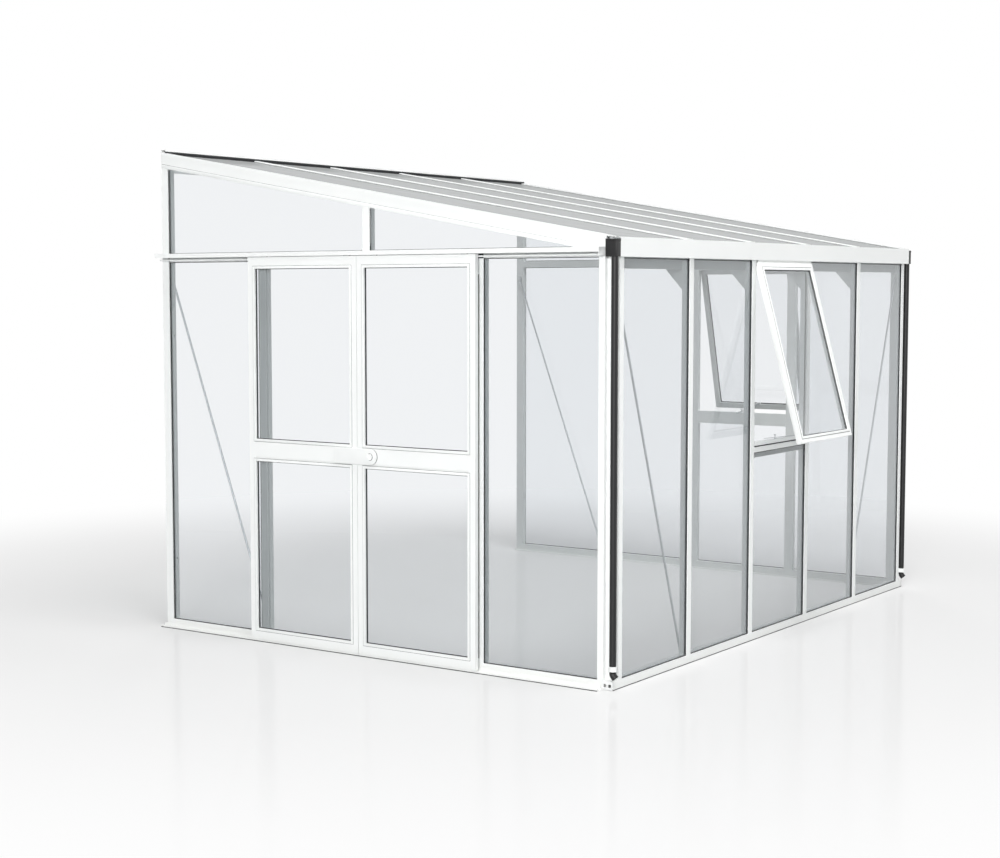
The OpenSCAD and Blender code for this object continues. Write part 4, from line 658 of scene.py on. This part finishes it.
for name, west, east, panes in (("near_gable_lips_and_shade", -lip_before, -lip_behind, near_panes),
                                ("far_gable_lips_and_shade", lip_behind, lip_before, far_panes)):
    lips_and_shade = [ring("lip", (west, y, pane_low), (east, y + pane_wide, top), axis=0, wide=lip_wide) for y, top in panes]
    lips_and_shade += [bar((west, low, slant_low), (east, high, slant_low + lip_wide)) for low, high in slanted_panes]
    lips_and_shade += [bar((west, y, slant_low), (east, y + lip_wide, top)) for y, top in slant_sides]
    fit(moved(lips_and_shade, name, shut), rubber, "frame", "black_rubber")
front_panes = ((-1.801, front_pane_top), (-1.071, front_pane_top), (-0.341, window_pane_top),
               (0.389, front_pane_top), (1.119, front_pane_top))
lips_and_shade = [ring("lip", (x, -0.0275, pane_low), (x + pane_wide, -0.0218, top), axis=1, wide=lip_wide)
        for x, top in front_panes]
fit(moved(lips_and_shade, "front_lips_and_shade", shut), rubber, "frame", "black_rubber")

# Seals of the window openings
# A flat strip of black EPDM around each window opening, where the shut sash lands. It is pressed into the frame and
# stands out less than the gap that the sash leaves.
seal_wide, seal_edge, opening_low, opening_top = 0.007, 0.0001, 1.084, 2.097
seal = ring("front_window_seal", (-0.341, -0.0183, opening_low), (0.341, -0.0178, opening_top),
            axis=1, wide=seal_wide, edge=seal_edge)
fit(seal, rubber, "frame", "black_rubber")
seal = ring("far_window_seal", (1.8738, 0.785, opening_low), (1.8743, 1.467, opening_top),
            axis=0, wide=seal_wide, edge=seal_edge)
fit(seal, rubber, "frame", "black_rubber")

# Bedding of the sills
# The sills lie on a strip of black EPDM that levels them on the footing. It is squeezed flat under their weight, and
# its edge looks out as a thin dark line, which also stands for the contact shadow under the sills: partly painted
# shade.
bedding_low, bedding_top = 0.0003, 0.0038
for name, left, front, right_end, rear in (("near_sill_bedding_and_shade", -1.9425, 0.025, -1.930, 2.980),
                                           ("front_sill_bedding_and_shade", -1.886, -0.0325, 1.886, -0.020),
                                           ("far_sill_bedding_and_shade", 1.876, 0.030, 1.8885, 2.980)):
    bedding_and_shade = block(name, (left, front, bedding_low), (right_end, rear, bedding_top))
    soften(bedding_and_shade, width=0.0012, steps=2)
    fit(bedding_and_shade, rubber, "frame", "black_rubber")

# Meeting brush
# A strip of dense dark pile in the slot between the two leaves, that keeps draughts out. It is drawn into a groove
# of the right leaf's stile.
brush = block("meeting_brush", (-1.944, 1.5053, 0.034), (-1.926, 1.5080, 2.088))
pick(brush, lambda c, n: n.y > squarely)
bpy.ops.mesh.inset(thickness=0.0006, depth=0)
soften(brush, width=0.0008, steps=2)
fit(brush, rubber, "right_door", "black_rubber")

# Pane gaskets of doors and windows
# A ring of black EPDM rubber on each side of every moving pane. It is pressed in dry between the glass and its
# frame.
gasket_wide, leaf_gasket_thick, sash_gasket_thick = 0.0035, 0.0027, 0.0025
for body, y in leaf_fronts.items():
    rings = []
    for low, top in leaf_panes:
        for x in (-1.9392, -1.9325):
            rings.append(ring("ring", (x, y, low), (x + leaf_gasket_thick, y + leaf_pane_wide, top),
                              axis=0, wide=gasket_wide))
    fit(weld(body.replace("door", "leaf") + "_gaskets", rings), rubber, body, "black_rubber")
rings = [ring("ring", (front_left, y, sash_low), (front_right, y + sash_gasket_thick, sash_top),
              axis=1, wide=gasket_wide) for y in (-0.0465, -0.040)]
fit(moved(rings, "front_window_gaskets", front_swing), rubber, "front_window", "black_rubber")
rings = [ring("ring", (x, far_front, sash_low), (x + sash_gasket_thick, far_rear, sash_top),
              axis=0, wide=gasket_wide) for x in (1.8935, 1.9000)]
fit(moved(rings, "far_window_gaskets", far_swing), rubber, "far_window", "black_rubber")

# Floor and light
# A plain white floor with a slight gloss, which fades to pure white 3 to 6.5 m from its middle. Four large
# softboxes and a dim white world give the light; to the eye and in the glass, floor and world are brighter.
fade_start, fade_end, fade_least, floor_gloss, world_light = 3.0, 6.5, 0.28, 0.12, 0.26
bpy.ops.object.select_all(action="DESELECT")
bpy.ops.mesh.primitive_circle_add(vertices=96, radius=60, fill_type="NGON", location=(0, 1.5, 0))
floor = bpy.context.object
floor.name = "floor"
floor_paint, tree, out = new_material("white_floor")
where = add(tree, "TexCoord").outputs["Object"]
far = add(tree, "VectorMath", {0: where}, operation="LENGTH").outputs["Value"]
fade = add(tree, "MapRange", {
    "Value": far, "From Min": fade_start, "From Max": fade_end, "To Min": fade_least, "To Max": 1.0},
    interpolation_type="SMOOTHSTEP")
gloss = add(tree, "BsdfGlossy", {"Color": linear("FFFFFF"), "Roughness": 0.12})
white = add(tree, "Emission", {"Color": linear("FFFFFF"), "Strength": 1.0})
rays = add(tree, "LightPath")
seen = add(tree, "Math", {0: rays.outputs["Is Camera Ray"], 1: rays.outputs["Is Glossy Ray"]}, operation="ADD")
mirrored = add(tree, "Math", {0: seen.outputs[0], 1: rays.outputs["Is Transmission Ray"]}, operation="ADD")
paint = add(tree, "MixRGB", {
    "Fac": mirrored.outputs[0], "Color1": linear("ACAEAF"), "Color2": linear("DADADA")}, use_clamp=True)
matt = add(tree, "BsdfDiffuse", {"Color": paint.outputs[0]})
share = add(tree, "Math", {0: mirrored.outputs[0], 1: fade.outputs[0]}, operation="MULTIPLY", use_clamp=True)
painted = add(tree, "MixShader", {0: floor_gloss, 1: matt.outputs[0], 2: gloss.outputs[0]})
ground = add(tree, "MixShader", {0: share.outputs[0], 1: painted.outputs[0], 2: white.outputs[0]})
tree.links.new(ground.outputs[0], out.inputs["Surface"])
floor.data.materials.append(floor_paint)

world = bpy.data.worlds.new("studio")
bpy.context.scene.world = world
world.use_nodes = True
tree = world.node_tree
tree.nodes.clear()
rays = add(tree, "LightPath")
seen = add(tree, "Math", {0: rays.outputs["Is Camera Ray"], 1: rays.outputs["Is Glossy Ray"]}, operation="ADD")
mirrored = add(tree, "Math", {
    0: seen.outputs[0], 1: rays.outputs["Is Transmission Ray"]}, operation="ADD", use_clamp=True)
strength = add(tree, "MapRange", {"Value": mirrored.outputs[0], "To Min": world_light, "To Max": 1.0})
backdrop = add(tree, "Background", {"Color": linear("FFFFFF"), "Strength": strength.outputs[0]})
add(tree, "OutputWorld", {"Surface": backdrop.outputs[0]})
middle_of_house = Vector((0, 1.4, 0.8))


def softbox(name, where, size, energy, mirrored=True):
    """A square area lamp that looks at the middle of the greenhouse, mirrored in glass and floor or not."""
    lamp_data = bpy.data.lights.new(name, "AREA")
    lamp_data.shape, lamp_data.size, lamp_data.energy = "SQUARE", size, energy
    lamp = bpy.data.objects.new(name, lamp_data)
    bpy.context.scene.collection.objects.link(lamp)
    lamp.visible_camera, lamp.visible_glossy = False, mirrored
    lamp.location = where
    lamp.rotation_euler = (middle_of_house - lamp.location).to_track_quat("-Z", "Y").to_euler()


softbox("overhead_softbox", (-3, -4, 17), size=7, energy=2350, mirrored=False)
softbox("left_softbox", (-17, -6.5, 5), size=4, energy=2050)
softbox("front_softbox", (8, -19, 8), size=7, energy=600)
softbox("rear_softbox", (15, 12, 6), size=5, energy=700, mirrored=False)

bpy.context.scene.view_settings.view_transform = "Standard"

bpy.context.view_layer.update()
